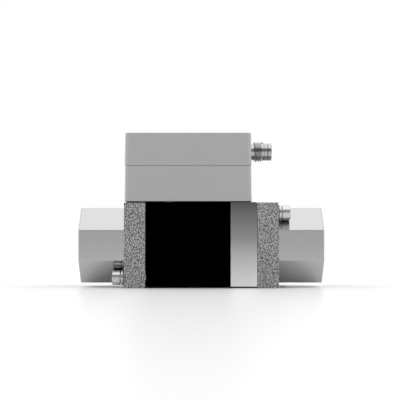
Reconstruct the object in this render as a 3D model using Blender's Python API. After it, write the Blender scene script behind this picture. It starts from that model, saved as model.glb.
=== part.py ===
"""A compact vortex flow sensor for a half inch pipe.

A moulded measuring body is clamped between two cast pipe adapters. A bluff bar across its bore sheds
vortices, and a thin paddle behind the bar feels them. The electronics sit in a two-part housing on
top, with a small round plug on its right wall.

The pipe axis runs along X, the label faces -Y and the housing is on top. The origin is on the floor
under the middle of the sensor. Lengths are in metres, and MM turns millimetres into metres.
"""
import math

import bmesh
import bpy
from mathutils import Euler, Vector

MM = 0.001

# Clearances
SEAT_GAP = 0.3 * MM  # between two pieces that bear on each other
SEAL_GAP = 0.15 * MM  # between a seal and its groove
SCREW_GAP = 0.3 * MM  # round a screw's shank
HEAD_GAP = 0.3 * MM  # round a screw's head, and between a head and what stands beside it
WASHER_GAP = 0.2 * MM  # above and below a lock washer
PIN_GAP = 0.15 * MM  # round a contact pin

# Pipe adapters
BORE_DIAMETER = 13.0 * MM
THREAD_DIAMETER = 20.955 * MM  # G 1/2 pipe thread, over the crests of the plug
THREAD_DEPTH = 14.0 * MM
MOUTH_CHAMFER = 0.8 * MM
SHOULDER_CHAMFER = 1.0 * MM
ACROSS_FLATS = 28.2 * MM
CORNER_CUT = 8.5 * MM  # leg of each cut corner, which makes the octagon
STUB_LENGTH = 16.9 * MM
STUB_CHAMFER = 0.3 * MM
FLANGE_THICKNESS = 7.9 * MM
FLANGE_STEP = 1.7 * MM  # from the stub's flats out to the flange's sides
CASTING_CORNER = 0.9 * MM
CASTING_EDGE = 0.45 * MM

# Measuring body
BODY_LENGTH = 40.8 * MM
BODY_FOOT_GAP = 0.5 * MM  # the body hangs this far above the floor, between the flanges
BODY_TOP_STEP = 0.1 * MM  # from the flanges' tops up to the body's top
BODY_BACK_STEP = 0.1 * MM  # from the flanges' backs in to the body's back
BODY_CORNER = 0.6 * MM
BODY_EDGE = 0.3 * MM
CORE_COLUMNS = 3
CORE_ROWS = 3
CORE_DEPTH = 4.0 * MM
CORE_RIB = 1.6 * MM
CORE_BORDER_X = 8.9 * MM  # keeps the core-outs clear of the adapter screws' holes
CORE_BORDER_Y = 2.4 * MM
CORE_CORNER = 0.8 * MM

# Front label
LABEL_THICKNESS = 0.3 * MM
LABEL_MARGIN = 0.1 * MM

# Face seals between the body and the adapters
FACE_SEAL_SECTION = 1.5 * MM
FACE_SEAL_WALL = 1.8 * MM  # from the bore out to the seal's inner edge

# Bluff bar and sensing paddle
BAR_WIDTH = 3.4 * MM  # upstream face
BAR_TAIL_WIDTH = 2.0 * MM
BAR_CHORD = 3.0 * MM
BAR_SHANK_RADIUS = 2.3 * MM
BAR_HEAD_RADIUS = 3.9 * MM
BAR_FOOT_DEPTH = 2.0 * MM  # how far its foot reaches into the wall under the bore
BAR_PLACE = -5.0 * MM
PADDLE_PLACE = 5.5 * MM
PADDLE_NECK_RADIUS = 2.4 * MM
PADDLE_HEAD_RADIUS = 4.2 * MM
PADDLE_CHORD = 4.4 * MM
PADDLE_THICKNESS = 1.2 * MM
PADDLE_EDGE_THICKNESS = 0.5 * MM
PADDLE_BELOW_AXIS = 3.4 * MM
INSERT_HEAD_HEIGHT = 2.2 * MM
STEM_SEAL_SECTION = 1.0 * MM
NECK_END_RISE = 6.1 * MM  # height above the pipe axis where the necks give way to bar and paddle

# Clamp plate over the two heads
CLAMP_POCKET_DEPTH = 2.0 * MM
CLAMP_THICKNESS = 1.2 * MM
CLAMP_HALF_WIDTH = 4.6 * MM
CLAMP_CORNER = 3.0 * MM
CLAMP_END = 2.5 * MM  # from a clamp screw out to the plate's end
CLAMP_SCREW_STEP = 2.0 * MM  # from a head's edge to a clamp screw
LEAD_HOLE_RADIUS = 1.5 * MM

# Socket cap screws
M3_SHANK = 3.0 * MM
M3_HEAD = 5.5 * MM
M3_HEAD_HEIGHT = 3.0 * MM
M3_SOCKET = 2.5 * MM
M25_SHANK = 2.5 * MM
M25_HEAD = 4.5 * MM
M25_HEAD_HEIGHT = 2.5 * MM
M25_SOCKET = 2.0 * MM
SCREW_CHAMFER = 0.3 * MM
ADAPTER_SCREW_LENGTH = 16.0 * MM
BASE_SCREW_LENGTH = 8.0 * MM
COVER_SCREW_LENGTH = 16.0 * MM
CLAMP_SCREW_LENGTH = 6.0 * MM
BOARD_SCREW_LENGTH = 6.0 * MM
HOLE_RUNOUT = 0.6 * MM  # a blind hole goes this far past its screw's tip

# Split lock washers
WASHER_THICKNESS = 1.0 * MM
WASHER_INNER_RADIUS = 1.75 * MM
WASHER_OUTER_RADIUS = 2.8 * MM
WASHER_SPLIT = math.radians(14)
WASHER_RISE = 0.12 * MM

# Electronics housing
HOUSING_LENGTH = 47.05 * MM
HOUSING_SETBACK = 0.2 * MM  # from the left flange's outer face in to the housing's left wall
BASE_HEIGHT = 12.9 * MM
COVER_HEIGHT = 12.2 * MM
SHELL_WALL = 2.2 * MM
SHELL_FLOOR = 2.2 * MM
SHELL_CORNER = 2.0 * MM
SHELL_INNER_CORNER = 0.8 * MM
SHELL_EDGE = 0.45 * MM
SEAM_EDGE = 0.15 * MM
DRAFT = 0.15 * MM  # how far each shell's walls lean in over its height
GASKET_WIDTH = 0.7 * MM
GASKET_INSET = 0.75 * MM  # from the outer wall in to the gasket
GASKET_HEIGHT = 1.0 * MM
COVER_BOSS_RADIUS = 2.9 * MM
COVER_BOSS_INSET = 4.4 * MM
COVER_SCREW_SINK = 0.2 * MM  # the heads lie this far below the cover's top
BASE_SCREW_SIDE_GAP = 0.55 * MM  # from a base screw's head to the side wall
BASE_SCREW_END_GAP = 0.5 * MM  # from a base screw's head to the standoff beside it
WINDOW_MARGIN = 0.2 * MM  # the floor's window is this much wider than the clamp pocket
BASE_SEAL_SECTION = 1.0 * MM
BASE_SEAL_WALL = 0.7 * MM  # from the clamp pocket out to the seal's groove

# Circuit board
BOARD_END_GAP = 0.4 * MM  # from the board's ends to the cover screws' bosses
BOARD_SIDE_GAP = 1.2 * MM  # from the board's sides to the side walls
BOARD_THICKNESS = 1.6 * MM
BOARD_HOLE_INSET = 3.0 * MM
STANDOFF_RADIUS = 2.3 * MM
STANDOFF_HEIGHT = 4.6 * MM
CHIP_SIDE = 8.0 * MM
CHIP_THICKNESS = 1.4 * MM
HEADER_LENGTH = 6.0 * MM
HEADER_WIDTH = 4.0 * MM
HEADER_HEIGHT = 2.4 * MM
LEAD_DIAMETER = 1.6 * MM
LEAD_SWAY = 3.5 * MM  # sideways from the paddle to the header

# Round plug
CONNECTOR_RISE = 6.4 * MM  # from the cover's lower edge up to the plug's axis
CONNECTOR_THREAD_RADIUS = 4.0 * MM  # M8 x 1
CONNECTOR_PITCH = 1.0 * MM
CONNECTOR_THREAD_HEIGHT = 0.6 * MM
CONNECTOR_TURNS = 4
CONNECTOR_SHANK_RADIUS = 3.7 * MM
CONNECTOR_SHANK_STEP = 0.4 * MM  # the shank stands this far out of the wall
CONNECTOR_NECK_RADIUS = 3.13 * MM
CONNECTOR_NECK_LENGTH = 1.0 * MM
CONNECTOR_SLEEVE_RADIUS = 3.36 * MM
CONNECTOR_SLEEVE_LENGTH = 3.0 * MM
CONNECTOR_GROOVE = 0.2 * MM
CONNECTOR_BORE_RADIUS = 2.75 * MM
CONNECTOR_BOSS_WALL = 1.6 * MM
CONNECTOR_BOSS_LENGTH = 4.0 * MM
INSERT_DEPTH = 3.4 * MM  # from the sleeve's mouth in to the insert's face
PIN_RADIUS = 0.4 * MM
PIN_SPACING = 2.1 * MM
PIN_DEPTH = 0.8 * MM  # from the sleeve's mouth in to the pins' tips
PIN_TAIL = 1.5 * MM  # how far the pins reach out of the insert's back

# Fineness of round shapes
BORE_SEGMENTS = 48
ROUND_SEGMENTS = 24
SCREW_SEGMENTS = 18
SMALL_SEGMENTS = 12
POST_SEGMENTS = 16
PIN_SEGMENTS = 8
CORNER_STEPS = 4
CORE_CORNER_STEPS = 2
EDGE_STEPS = 3
SECTION_SEGMENTS = 6
LEAD_STEPS = 8
CUT = 1.0 * MM  # a cutter reaches this far past the face it opens

# Places that follow from the sizes above
FLANGE_SIDE = ACROSS_FLATS + 2 * FLANGE_STEP
AXIS_HEIGHT = FLANGE_SIDE / 2
ADAPTER_LENGTH = FLANGE_THICKNESS + STUB_LENGTH
ADAPTER_FACE = BODY_LENGTH / 2 + SEAT_GAP
FLANGE_OUTER_FACE = ADAPTER_FACE + FLANGE_THICKNESS
FACET_DISTANCE = (ACROSS_FLATS - CORNER_CUT) / math.sqrt(2)
SCREW_OFFSET = (FACET_DISTANCE + M3_HEAD / 2 + HEAD_GAP) / math.sqrt(2)
BODY_TOP = FLANGE_SIDE + BODY_TOP_STEP
BODY_FRONT = -FLANGE_SIDE / 2 + LABEL_THICKNESS + SEAT_GAP
BODY_BACK = FLANGE_SIDE / 2 - BODY_BACK_STEP
BORE_RADIUS = BORE_DIAMETER / 2
POCKET_FLOOR = BODY_TOP - CLAMP_POCKET_DEPTH
HEAD_SEAT = POCKET_FLOOR - INSERT_HEAD_HEIGHT - SEAT_GAP
NECK_END = AXIS_HEIGHT + NECK_END_RISE
CLAMP_SCREW_PLACES = (
    BAR_PLACE - BAR_HEAD_RADIUS - CLAMP_SCREW_STEP,
    PADDLE_PLACE + PADDLE_HEAD_RADIUS + CLAMP_SCREW_STEP,
)
CLAMP_CENTRE = sum(CLAMP_SCREW_PLACES) / 2
CLAMP_HALF_LENGTH = (CLAMP_SCREW_PLACES[1] - CLAMP_SCREW_PLACES[0]) / 2 + CLAMP_END
HOUSING_LEFT = -FLANGE_OUTER_FACE + HOUSING_SETBACK
HOUSING_RIGHT = HOUSING_LEFT + HOUSING_LENGTH
HOUSING_CENTRE = (HOUSING_LEFT + HOUSING_RIGHT) / 2
HOUSING_HALF_DEPTH = FLANGE_SIDE / 2
BOSS_HALF_X = HOUSING_LENGTH / 2 - COVER_BOSS_INSET
BOSS_HALF_Y = HOUSING_HALF_DEPTH - COVER_BOSS_INSET
BOARD_LENGTH = 2 * (BOSS_HALF_X - COVER_BOSS_RADIUS - BOARD_END_GAP)
BOARD_WIDTH = 2 * (HOUSING_HALF_DEPTH - SHELL_WALL - BOARD_SIDE_GAP)
STANDOFF_HALF_X = BOARD_LENGTH / 2 - BOARD_HOLE_INSET
STANDOFF_HALF_Y = BOARD_WIDTH / 2 - BOARD_HOLE_INSET
BASE_SCREW_HALF_X = STANDOFF_HALF_X - STANDOFF_RADIUS - BASE_SCREW_END_GAP - M3_HEAD / 2
BASE_SCREW_HALF_Y = HOUSING_HALF_DEPTH - SHELL_WALL - BASE_SCREW_SIDE_GAP - M3_HEAD / 2
BASE_SCREW_PLACES = (
    (HOUSING_CENTRE - BASE_SCREW_HALF_X, -BASE_SCREW_HALF_Y),
    (HOUSING_CENTRE + BASE_SCREW_HALF_X, BASE_SCREW_HALF_Y),
)
BASE_BOTTOM = BODY_TOP + SEAT_GAP
BASE_TOP = BASE_BOTTOM + BASE_HEIGHT
BASE_FLOOR = BASE_BOTTOM + SHELL_FLOOR
COVER_BOTTOM = BASE_TOP + SEAT_GAP
COVER_TOP = COVER_BOTTOM + COVER_HEIGHT
BOARD_BOTTOM = BASE_FLOOR + STANDOFF_HEIGHT + SEAT_GAP
BOARD_TOP = BOARD_BOTTOM + BOARD_THICKNESS
CONNECTOR_HEIGHT = COVER_BOTTOM + CONNECTOR_RISE
CONNECTOR_FACE = HOUSING_RIGHT - DRAFT / 2
CONNECTOR_THREAD_START = CONNECTOR_SHANK_STEP + CONNECTOR_NECK_LENGTH
CONNECTOR_THREAD_END = CONNECTOR_THREAD_START + CONNECTOR_TURNS * CONNECTOR_PITCH
CONNECTOR_MOUTH = CONNECTOR_THREAD_END + CONNECTOR_SLEEVE_LENGTH
CONNECTOR_BACK = -SHELL_WALL - CONNECTOR_BOSS_LENGTH

UPRIGHT = (0, 0, 0)
TOWARDS_RIGHT = (0, math.pi / 2, 0)
TOWARDS_LEFT = (0, -math.pi / 2, 0)


def clear_scene():
    for obj in list(bpy.data.objects):
        bpy.data.objects.remove(obj, do_unlink=True)


def make_material(name, colour, metallic, roughness):
    material = bpy.data.materials.new(name)
    material.use_nodes = True
    shader = material.node_tree.nodes["Principled BSDF"]
    shader.inputs["Base Color"].default_value = (*colour, 1.0)
    shader.inputs["Metallic"].default_value = metallic
    shader.inputs["Roughness"].default_value = roughness
    return material


# Rings of points round the local Z axis. A shape is skinned over a stack of them.


def circle(radius, height, count=ROUND_SEGMENTS):
    angles = [2 * math.pi * (k + 0.5) / count for k in range(count)]
    return [Vector((radius * math.cos(a), radius * math.sin(a), height)) for a in angles]


def hexagon(across_flats, height, count):
    """A hexagon with as many points as a circle, so that the two can be skinned together."""
    points = []
    for k in range(count):
        angle = 2 * math.pi * (k + 0.5) / count
        from_flat = (angle % (math.pi / 3)) - math.pi / 6
        radius = across_flats / 2 / math.cos(from_flat)
        points.append(Vector((radius * math.cos(angle), radius * math.sin(angle), height)))
    return points


def octagon(across_flats, corner_cut, inset, height):
    """A square with cut corners, all eight sides moved in by inset."""
    half = across_flats / 2 - inset
    flat = half - (corner_cut - (2 - math.sqrt(2)) * inset)
    corners = [(half, flat), (flat, half), (-flat, half), (-half, flat)]
    corners += [(-x, -y) for x, y in corners]
    return [Vector((x, y, height)) for x, y in corners]


def rectangle(half_x, half_y, corner, height, centre=(0.0, 0.0), steps=CORNER_STEPS):
    """A rectangle with round corners."""
    points = []
    for quarter, (side_x, side_y) in enumerate(((1, 1), (-1, 1), (-1, -1), (1, -1))):
        for step in range(steps + 1):
            angle = (quarter + step / steps) * math.pi / 2
            x = centre[0] + side_x * (half_x - corner) + corner * math.cos(angle)
            y = centre[1] + side_y * (half_y - corner) + corner * math.sin(angle)
            points.append(Vector((x, y, height)))
    return points


def eased_block(half_x, half_y, corner, bottom, top, low_edge, high_edge, draft=0.0, centre=(0.0, 0.0)):
    """Rings of a round-cornered block whose lower and upper edges are rounded and whose walls lean in."""
    levels = []
    for step in range(EDGE_STEPS + 1):
        angle = math.pi / 2 * step / EDGE_STEPS
        levels.append((bottom + low_edge * (1 - math.cos(angle)), low_edge * (1 - math.sin(angle))))
    for step in range(EDGE_STEPS + 1):
        angle = math.pi / 2 * (1 - step / EDGE_STEPS)
        levels.append((top - high_edge * (1 - math.cos(angle)), high_edge * (1 - math.sin(angle))))
    rings = []
    for height, ease in levels:
        inset = ease + draft * (height - bottom) / (top - bottom)
        rings.append(rectangle(half_x - inset, half_y - inset, corner - ease, height, centre))
    return rings


# Solids


def skin(name, rings, material=None, closed=False):
    """One body over a stack of rings. A closed one joins the last ring to the first, as a tube wall does."""
    bm = bmesh.new()
    loops = [[bm.verts.new(point) for point in ring] for ring in rings]
    pairs = list(zip(loops, loops[1:]))
    if closed:
        pairs.append((loops[-1], loops[0]))
    else:
        bm.faces.new(reversed(loops[0]))
        bm.faces.new(loops[-1])
    for lower, upper in pairs:
        for k, corner in enumerate(lower):
            after = (k + 1) % len(lower)
            bm.faces.new((corner, lower[after], upper[after], upper[k]))
    bmesh.ops.recalc_face_normals(bm, faces=bm.faces)
    mesh = bpy.data.meshes.new(name)
    bm.to_mesh(mesh)
    bm.free()
    obj = bpy.data.objects.new(name, mesh)
    bpy.context.scene.collection.objects.link(obj)
    if material:
        mesh.materials.append(material)
    return obj


def place(obj, location, rotation=UPRIGHT):
    obj.location = location
    obj.rotation_euler = rotation
    return obj


def turned(name, profile, material=None, count=ROUND_SEGMENTS, closed=False):
    """A lathe shape from (radius, height) pairs."""
    return skin(name, [circle(radius, height, count) for radius, height in profile], material, closed)


def rod(name, radius, bottom, top, count=ROUND_SEGMENTS):
    return turned(name, [(radius, bottom), (radius, top)], count=count)


def seal_ring(name, radius, section, material, count=ROUND_SEGMENTS):
    """An O-ring: a round section turned about the axis, half above and half below its own middle."""
    profile = []
    for k in range(SECTION_SEGMENTS):
        angle = 2 * math.pi * k / SECTION_SEGMENTS
        profile.append((radius + section / 2 * math.cos(angle), section / 2 * math.sin(angle)))
    return turned(name, profile, material, count, closed=True)


def loop_band(name, half_x, half_y, corner, width, bottom, top, material=None, centre=(0.0, 0.0)):
    """A band of rectangular section that follows a round-cornered rectangle, its outer edge."""
    outline = [(0.0, bottom), (0.0, top), (width, top), (width, bottom)]
    rings = []
    for inset, height in outline:
        rings.append(rectangle(half_x - inset, half_y - inset, corner - inset, height, centre))
    return skin(name, rings, material, closed=True)


def combine(obj, others, operation):
    """Cuts the other shapes from obj, or unites them with it, and removes them."""
    for other in others:
        other.hide_render = True
        other.display_type = "WIRE"
        modifier = obj.modifiers.new(other.name, "BOOLEAN")
        modifier.operation = operation
        modifier.object = other
    bpy.context.view_layer.update()
    graph = bpy.context.evaluated_depsgraph_get()
    mesh = bpy.data.meshes.new_from_object(obj.evaluated_get(graph))
    obj.modifiers.clear()
    obj.data = mesh
    for other in others:
        bpy.data.objects.remove(other, do_unlink=True)
    return obj


def cut(obj, cutters):
    return combine(obj, cutters, "DIFFERENCE")


def unite(obj, others):
    return combine(obj, others, "UNION")


def soften(obj):
    """Smooth shading on the round faces, with the real edges kept sharp."""
    obj.data.shade_smooth()
    obj.data.set_sharp_from_angle(angle=math.radians(32))


def copy_of(obj, name):
    twin = bpy.data.objects.new(name, obj.data)
    bpy.context.scene.collection.objects.link(twin)
    return twin


# Fasteners


def cap_screw(name, shank, head, head_height, socket, length, material, count):
    """A socket cap screw. Its head's underside is at height 0, and its shank points down."""
    profile = [
        circle(shank / 2 - SCREW_CHAMFER, -length, count),
        circle(shank / 2, -length + SCREW_CHAMFER, count),
        circle(shank / 2, 0, count),
        circle(head / 2, 0, count),
        circle(head / 2, head_height - SCREW_CHAMFER, count),
        circle(head / 2 - SCREW_CHAMFER, head_height, count),
        hexagon(socket, head_height, count),
        hexagon(socket, head_height / 2, count),
    ]
    return skin(name, profile, material)


def m3_screw(name, length, material):
    return cap_screw(name, M3_SHANK, M3_HEAD, M3_HEAD_HEIGHT, M3_SOCKET, length, material, SCREW_SEGMENTS)


def m25_screw(name, length, material):
    return cap_screw(name, M25_SHANK, M25_HEAD, M25_HEAD_HEIGHT, M25_SOCKET, length, material, SMALL_SEGMENTS)


def m3_hole(top, depth):
    return rod("hole", M3_SHANK / 2 + SCREW_GAP, top - depth, top + CUT, SMALL_SEGMENTS)


def m25_hole(top, depth):
    return rod("hole", M25_SHANK / 2 + SCREW_GAP, top - depth, top + CUT, SMALL_SEGMENTS)


def lock_washer(name, material):
    """A split ring whose ends stand a little apart, as a wound spring washer's do."""
    sweep = 2 * math.pi - WASHER_SPLIT
    section = (
        (WASHER_INNER_RADIUS, -WASHER_THICKNESS / 2 + WASHER_RISE / 2),
        (WASHER_OUTER_RADIUS, -WASHER_THICKNESS / 2 + WASHER_RISE / 2),
        (WASHER_OUTER_RADIUS, WASHER_THICKNESS / 2 - WASHER_RISE / 2),
        (WASHER_INNER_RADIUS, WASHER_THICKNESS / 2 - WASHER_RISE / 2),
    )
    rings = []
    for step in range(SCREW_SEGMENTS + 1):
        share = step / SCREW_SEGMENTS
        angle = WASHER_SPLIT / 2 + sweep * share
        rise = WASHER_RISE * (share - 0.5)
        rings.append([Vector((r * math.cos(angle), r * math.sin(angle), h + rise)) for r, h in section])
    return skin(name, rings, material)


# Pipe adapters, modelled once with the body's face at height 0 and the pipe's mouth on top


def adapter(name, material):
    half = FLANGE_SIDE / 2
    flange = skin(
        name,
        eased_block(half, half, CASTING_CORNER, 0, FLANGE_THICKNESS, CASTING_EDGE, CASTING_EDGE),
        material,
    )
    stub = skin(
        "stub",
        [
            octagon(ACROSS_FLATS, CORNER_CUT, 0, FLANGE_THICKNESS / 2),
            octagon(ACROSS_FLATS, CORNER_CUT, 0, ADAPTER_LENGTH - STUB_CHAMFER),
            octagon(ACROSS_FLATS, CORNER_CUT, STUB_CHAMFER, ADAPTER_LENGTH),
        ],
    )
    unite(flange, [stub])
    thread_radius = THREAD_DIAMETER / 2
    shoulder = ADAPTER_LENGTH - THREAD_DEPTH
    passage = turned(
        "passage",
        [
            (BORE_RADIUS, -CUT),
            (BORE_RADIUS, shoulder - SHOULDER_CHAMFER),
            (BORE_RADIUS + SHOULDER_CHAMFER, shoulder),
            (thread_radius, shoulder),
            (thread_radius, ADAPTER_LENGTH - MOUTH_CHAMFER),
            (thread_radius + MOUTH_CHAMFER + CUT, ADAPTER_LENGTH + CUT),
        ],
        count=BORE_SEGMENTS,
    )
    holes = []
    for side in (-1, 1):
        hole = m3_hole(FLANGE_THICKNESS, FLANGE_THICKNESS + CUT)
        holes.append(place(hole, (side * SCREW_OFFSET, side * SCREW_OFFSET, 0)))
    return cut(flange, [passage, *holes])


def make_adapters(casting, steel, rubber):
    """The same casting at both ends, with a screw and a lock washer on one diagonal of each."""
    inlet = adapter("inlet_adapter", casting)
    screw = m3_screw("inlet_screw_front", ADAPTER_SCREW_LENGTH, steel)
    washer = lock_washer("inlet_washer_front", steel)
    seal_radius = BORE_RADIUS + FACE_SEAL_WALL + FACE_SEAL_SECTION / 2
    seal = seal_ring("inlet_seal", seal_radius, FACE_SEAL_SECTION, rubber, BORE_SEGMENTS // 2)
    washer_height = FLANGE_THICKNESS + WASHER_GAP + WASHER_THICKNESS / 2
    head_height = FLANGE_THICKNESS + 2 * WASHER_GAP + WASHER_THICKNESS
    for end, side, rotation in (("inlet", -1, TOWARDS_LEFT), ("outlet", 1, TOWARDS_RIGHT)):
        face = Vector((side * ADAPTER_FACE, 0, AXIS_HEIGHT))
        piece = inlet if end == "inlet" else copy_of(inlet, "outlet_adapter")
        place(piece, face, rotation)
        soften(piece)
        ring = seal if end == "inlet" else copy_of(seal, "outlet_seal")
        ring_depth = SEAT_GAP + FACE_SEAL_SECTION / 2 - SEAL_GAP
        place(ring, (side * (ADAPTER_FACE - ring_depth), 0, AXIS_HEIGHT), rotation)
        soften(ring)
        turn = Euler(rotation).to_matrix()
        for where, sign in (("front", -1), ("back", 1)):
            first = end == "inlet" and where == "front"
            bolt = screw if first else copy_of(screw, f"{end}_screw_{where}")
            ring = washer if first else copy_of(washer, f"{end}_washer_{where}")
            offset = (sign * SCREW_OFFSET, sign * SCREW_OFFSET)
            place(bolt, face + turn @ Vector((*offset, head_height)), rotation)
            place(ring, face + turn @ Vector((*offset, washer_height)), rotation)
            soften(bolt)
            soften(ring)


# Measuring body


def core_outs():
    """Pockets in the underside that keep the moulding's walls even."""
    width = (BODY_LENGTH - 2 * CORE_BORDER_X - (CORE_COLUMNS - 1) * CORE_RIB) / CORE_COLUMNS
    depth = (BODY_BACK - BODY_FRONT - 2 * CORE_BORDER_Y - (CORE_ROWS - 1) * CORE_RIB) / CORE_ROWS
    cutters = []
    for column in range(CORE_COLUMNS):
        x = -BODY_LENGTH / 2 + CORE_BORDER_X + width / 2 + column * (width + CORE_RIB)
        for row in range(CORE_ROWS):
            y = BODY_FRONT + CORE_BORDER_Y + depth / 2 + row * (depth + CORE_RIB)
            rings = []
            for z in (BODY_FOOT_GAP - CUT, BODY_FOOT_GAP + CORE_DEPTH):
                rings.append(rectangle(width / 2, depth / 2, CORE_CORNER, z, (x, y), CORE_CORNER_STEPS))
            cutters.append(skin("core", rings))
    return cutters


def stem_hole(place_x, stem_radius, head_radius, bottom):
    """A stepped hole for a head, its stem seal and its stem."""
    seal_radius = stem_radius + STEM_SEAL_SECTION + 2 * SEAL_GAP
    seal_floor = HEAD_SEAT - STEM_SEAL_SECTION - SEAL_GAP
    hole = turned(
        "stem hole",
        [
            (stem_radius + SEAT_GAP, bottom),
            (stem_radius + SEAT_GAP, seal_floor),
            (seal_radius, seal_floor),
            (seal_radius, HEAD_SEAT),
            (head_radius + SEAT_GAP, HEAD_SEAT),
            (head_radius + SEAT_GAP, POCKET_FLOOR + CUT),
        ],
    )
    return place(hole, (place_x, 0, 0))


def make_measuring_body(plastic):
    middle = (0, (BODY_FRONT + BODY_BACK) / 2)
    body = skin(
        "measuring_body",
        eased_block(
            BODY_LENGTH / 2,
            (BODY_BACK - BODY_FRONT) / 2,
            BODY_CORNER,
            BODY_FOOT_GAP,
            BODY_TOP,
            BODY_EDGE,
            BODY_EDGE,
            centre=middle,
        ),
        plastic,
    )
    bore = rod("bore", BORE_RADIUS, -BODY_LENGTH / 2 - CUT, BODY_LENGTH / 2 + CUT, BORE_SEGMENTS)
    cutters = [place(bore, (0, 0, AXIS_HEIGHT), TOWARDS_RIGHT)]
    groove_inner = BORE_RADIUS + FACE_SEAL_WALL - SEAL_GAP
    groove_outer = groove_inner + FACE_SEAL_SECTION + 2 * SEAL_GAP
    groove_depth = FACE_SEAL_SECTION
    hole_depth = ADAPTER_SCREW_LENGTH - FLANGE_THICKNESS - WASHER_THICKNESS - 2 * WASHER_GAP - SEAT_GAP
    for side, rotation in ((-1, TOWARDS_LEFT), (1, TOWARDS_RIGHT)):
        groove = turned(
            "groove",
            [
                (groove_inner, -groove_depth),
                (groove_outer, -groove_depth),
                (groove_outer, CUT),
                (groove_inner, CUT),
            ],
            count=BORE_SEGMENTS // 2,
            closed=True,
        )
        end = Vector((side * BODY_LENGTH / 2, 0, AXIS_HEIGHT))
        cutters.append(place(groove, end, rotation))
        turn = Euler(rotation).to_matrix()
        for sign in (-1, 1):
            hole = m3_hole(0, hole_depth + HOLE_RUNOUT)
            offset = Vector((sign * SCREW_OFFSET, sign * SCREW_OFFSET, 0))
            cutters.append(place(hole, end + turn @ offset, rotation))
    pocket_half_x = CLAMP_HALF_LENGTH + SEAT_GAP
    pocket_half_y = CLAMP_HALF_WIDTH + SEAT_GAP
    pocket_corner = CLAMP_CORNER + SEAT_GAP
    centre = (CLAMP_CENTRE, 0)
    pocket = skin(
        "pocket",
        [
            rectangle(pocket_half_x, pocket_half_y, pocket_corner, POCKET_FLOOR, centre),
            rectangle(pocket_half_x, pocket_half_y, pocket_corner, BODY_TOP + CUT, centre),
        ],
    )
    grow = BASE_SEAL_WALL + BASE_SEAL_SECTION + 2 * SEAL_GAP
    seal_groove = loop_band(
        "seal groove",
        pocket_half_x + grow,
        pocket_half_y + grow,
        pocket_corner + grow,
        BASE_SEAL_SECTION + 2 * SEAL_GAP,
        BODY_TOP - BASE_SEAL_SECTION,
        BODY_TOP + CUT,
        centre=centre,
    )
    bar_bottom = AXIS_HEIGHT - BORE_RADIUS - BAR_FOOT_DEPTH - SEAT_GAP
    cutters += [
        pocket,
        seal_groove,
        stem_hole(BAR_PLACE, BAR_SHANK_RADIUS, BAR_HEAD_RADIUS, bar_bottom),
        stem_hole(PADDLE_PLACE, PADDLE_NECK_RADIUS, PADDLE_HEAD_RADIUS, AXIS_HEIGHT),
    ]
    clamp_depth = CLAMP_SCREW_LENGTH - CLAMP_THICKNESS - 2 * SEAT_GAP + HOLE_RUNOUT
    for x in CLAMP_SCREW_PLACES:
        cutters.append(place(m25_hole(0, clamp_depth), (x, 0, POCKET_FLOOR)))
    base_depth = BASE_SCREW_LENGTH - SHELL_FLOOR - 2 * SEAT_GAP + HOLE_RUNOUT
    for x, y in BASE_SCREW_PLACES:
        cutters.append(place(m3_hole(0, base_depth), (x, y, BODY_TOP)))
    soften(cut(body, cutters + core_outs()))


def make_label(foil):
    front = -FLANGE_SIDE / 2
    half_x = BODY_LENGTH / 2 - LABEL_MARGIN
    rings = []
    for height in (BODY_FOOT_GAP + LABEL_MARGIN, BODY_TOP - LABEL_MARGIN):
        corners = ((-half_x, front), (half_x, front), (half_x, front + LABEL_THICKNESS))
        corners += ((-half_x, front + LABEL_THICKNESS),)
        rings.append([Vector((x, y, height)) for x, y in corners])
    skin("front_label", rings, foil)


# Bluff bar, paddle and what clamps them


def stem(name, stem_radius, head_radius, bottom, material):
    """A head with a round stem under it, in the body's own height."""
    head_bottom = HEAD_SEAT + SEAT_GAP
    profile = [
        (stem_radius, bottom),
        (stem_radius, head_bottom),
        (head_radius, head_bottom),
        (head_radius, POCKET_FLOOR),
    ]
    return turned(name, profile, material)


def make_shedder(polymer, rubber):
    bar = stem("shedder_bar", BAR_SHANK_RADIUS, BAR_HEAD_RADIUS, NECK_END, polymer)
    foot_bottom = AXIS_HEIGHT - BORE_RADIUS - BAR_FOOT_DEPTH
    foot = rod("foot", BAR_SHANK_RADIUS, foot_bottom, AXIS_HEIGHT - NECK_END_RISE)
    outline = (
        (-BAR_CHORD / 2, -BAR_WIDTH / 2),
        (BAR_CHORD / 2, -BAR_TAIL_WIDTH / 2),
        (BAR_CHORD / 2, BAR_TAIL_WIDTH / 2),
        (-BAR_CHORD / 2, BAR_WIDTH / 2),
    )
    overlap = BAR_FOOT_DEPTH / 2
    levels = (AXIS_HEIGHT - NECK_END_RISE - overlap, NECK_END + overlap)
    bluff = skin("bluff", [[Vector((x, y, z)) for x, y in outline] for z in levels])
    unite(bar, [foot, bluff])
    place(bar, (BAR_PLACE, 0, 0))
    soften(bar)
    make_stem_seal("shedder_seal", BAR_PLACE, BAR_SHANK_RADIUS, rubber)


def make_paddle(polymer, rubber):
    paddle = stem("sensing_paddle", PADDLE_NECK_RADIUS, PADDLE_HEAD_RADIUS, NECK_END, polymer)
    half_chord = PADDLE_CHORD / 2
    half_middle = PADDLE_THICKNESS / 2
    half_edge = PADDLE_EDGE_THICKNESS / 2
    outline = (
        (-half_chord, -half_edge),
        (0, -half_middle),
        (half_chord, -half_edge),
        (half_chord, half_edge),
        (0, half_middle),
        (-half_chord, half_edge),
    )
    levels = (AXIS_HEIGHT - PADDLE_BELOW_AXIS, NECK_END + INSERT_HEAD_HEIGHT / 2)
    blade = skin("blade", [[Vector((x, y, z)) for x, y in outline] for z in levels])
    unite(paddle, [blade])
    place(paddle, (PADDLE_PLACE, 0, 0))
    soften(paddle)
    make_stem_seal("paddle_seal", PADDLE_PLACE, PADDLE_NECK_RADIUS, rubber)


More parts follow.
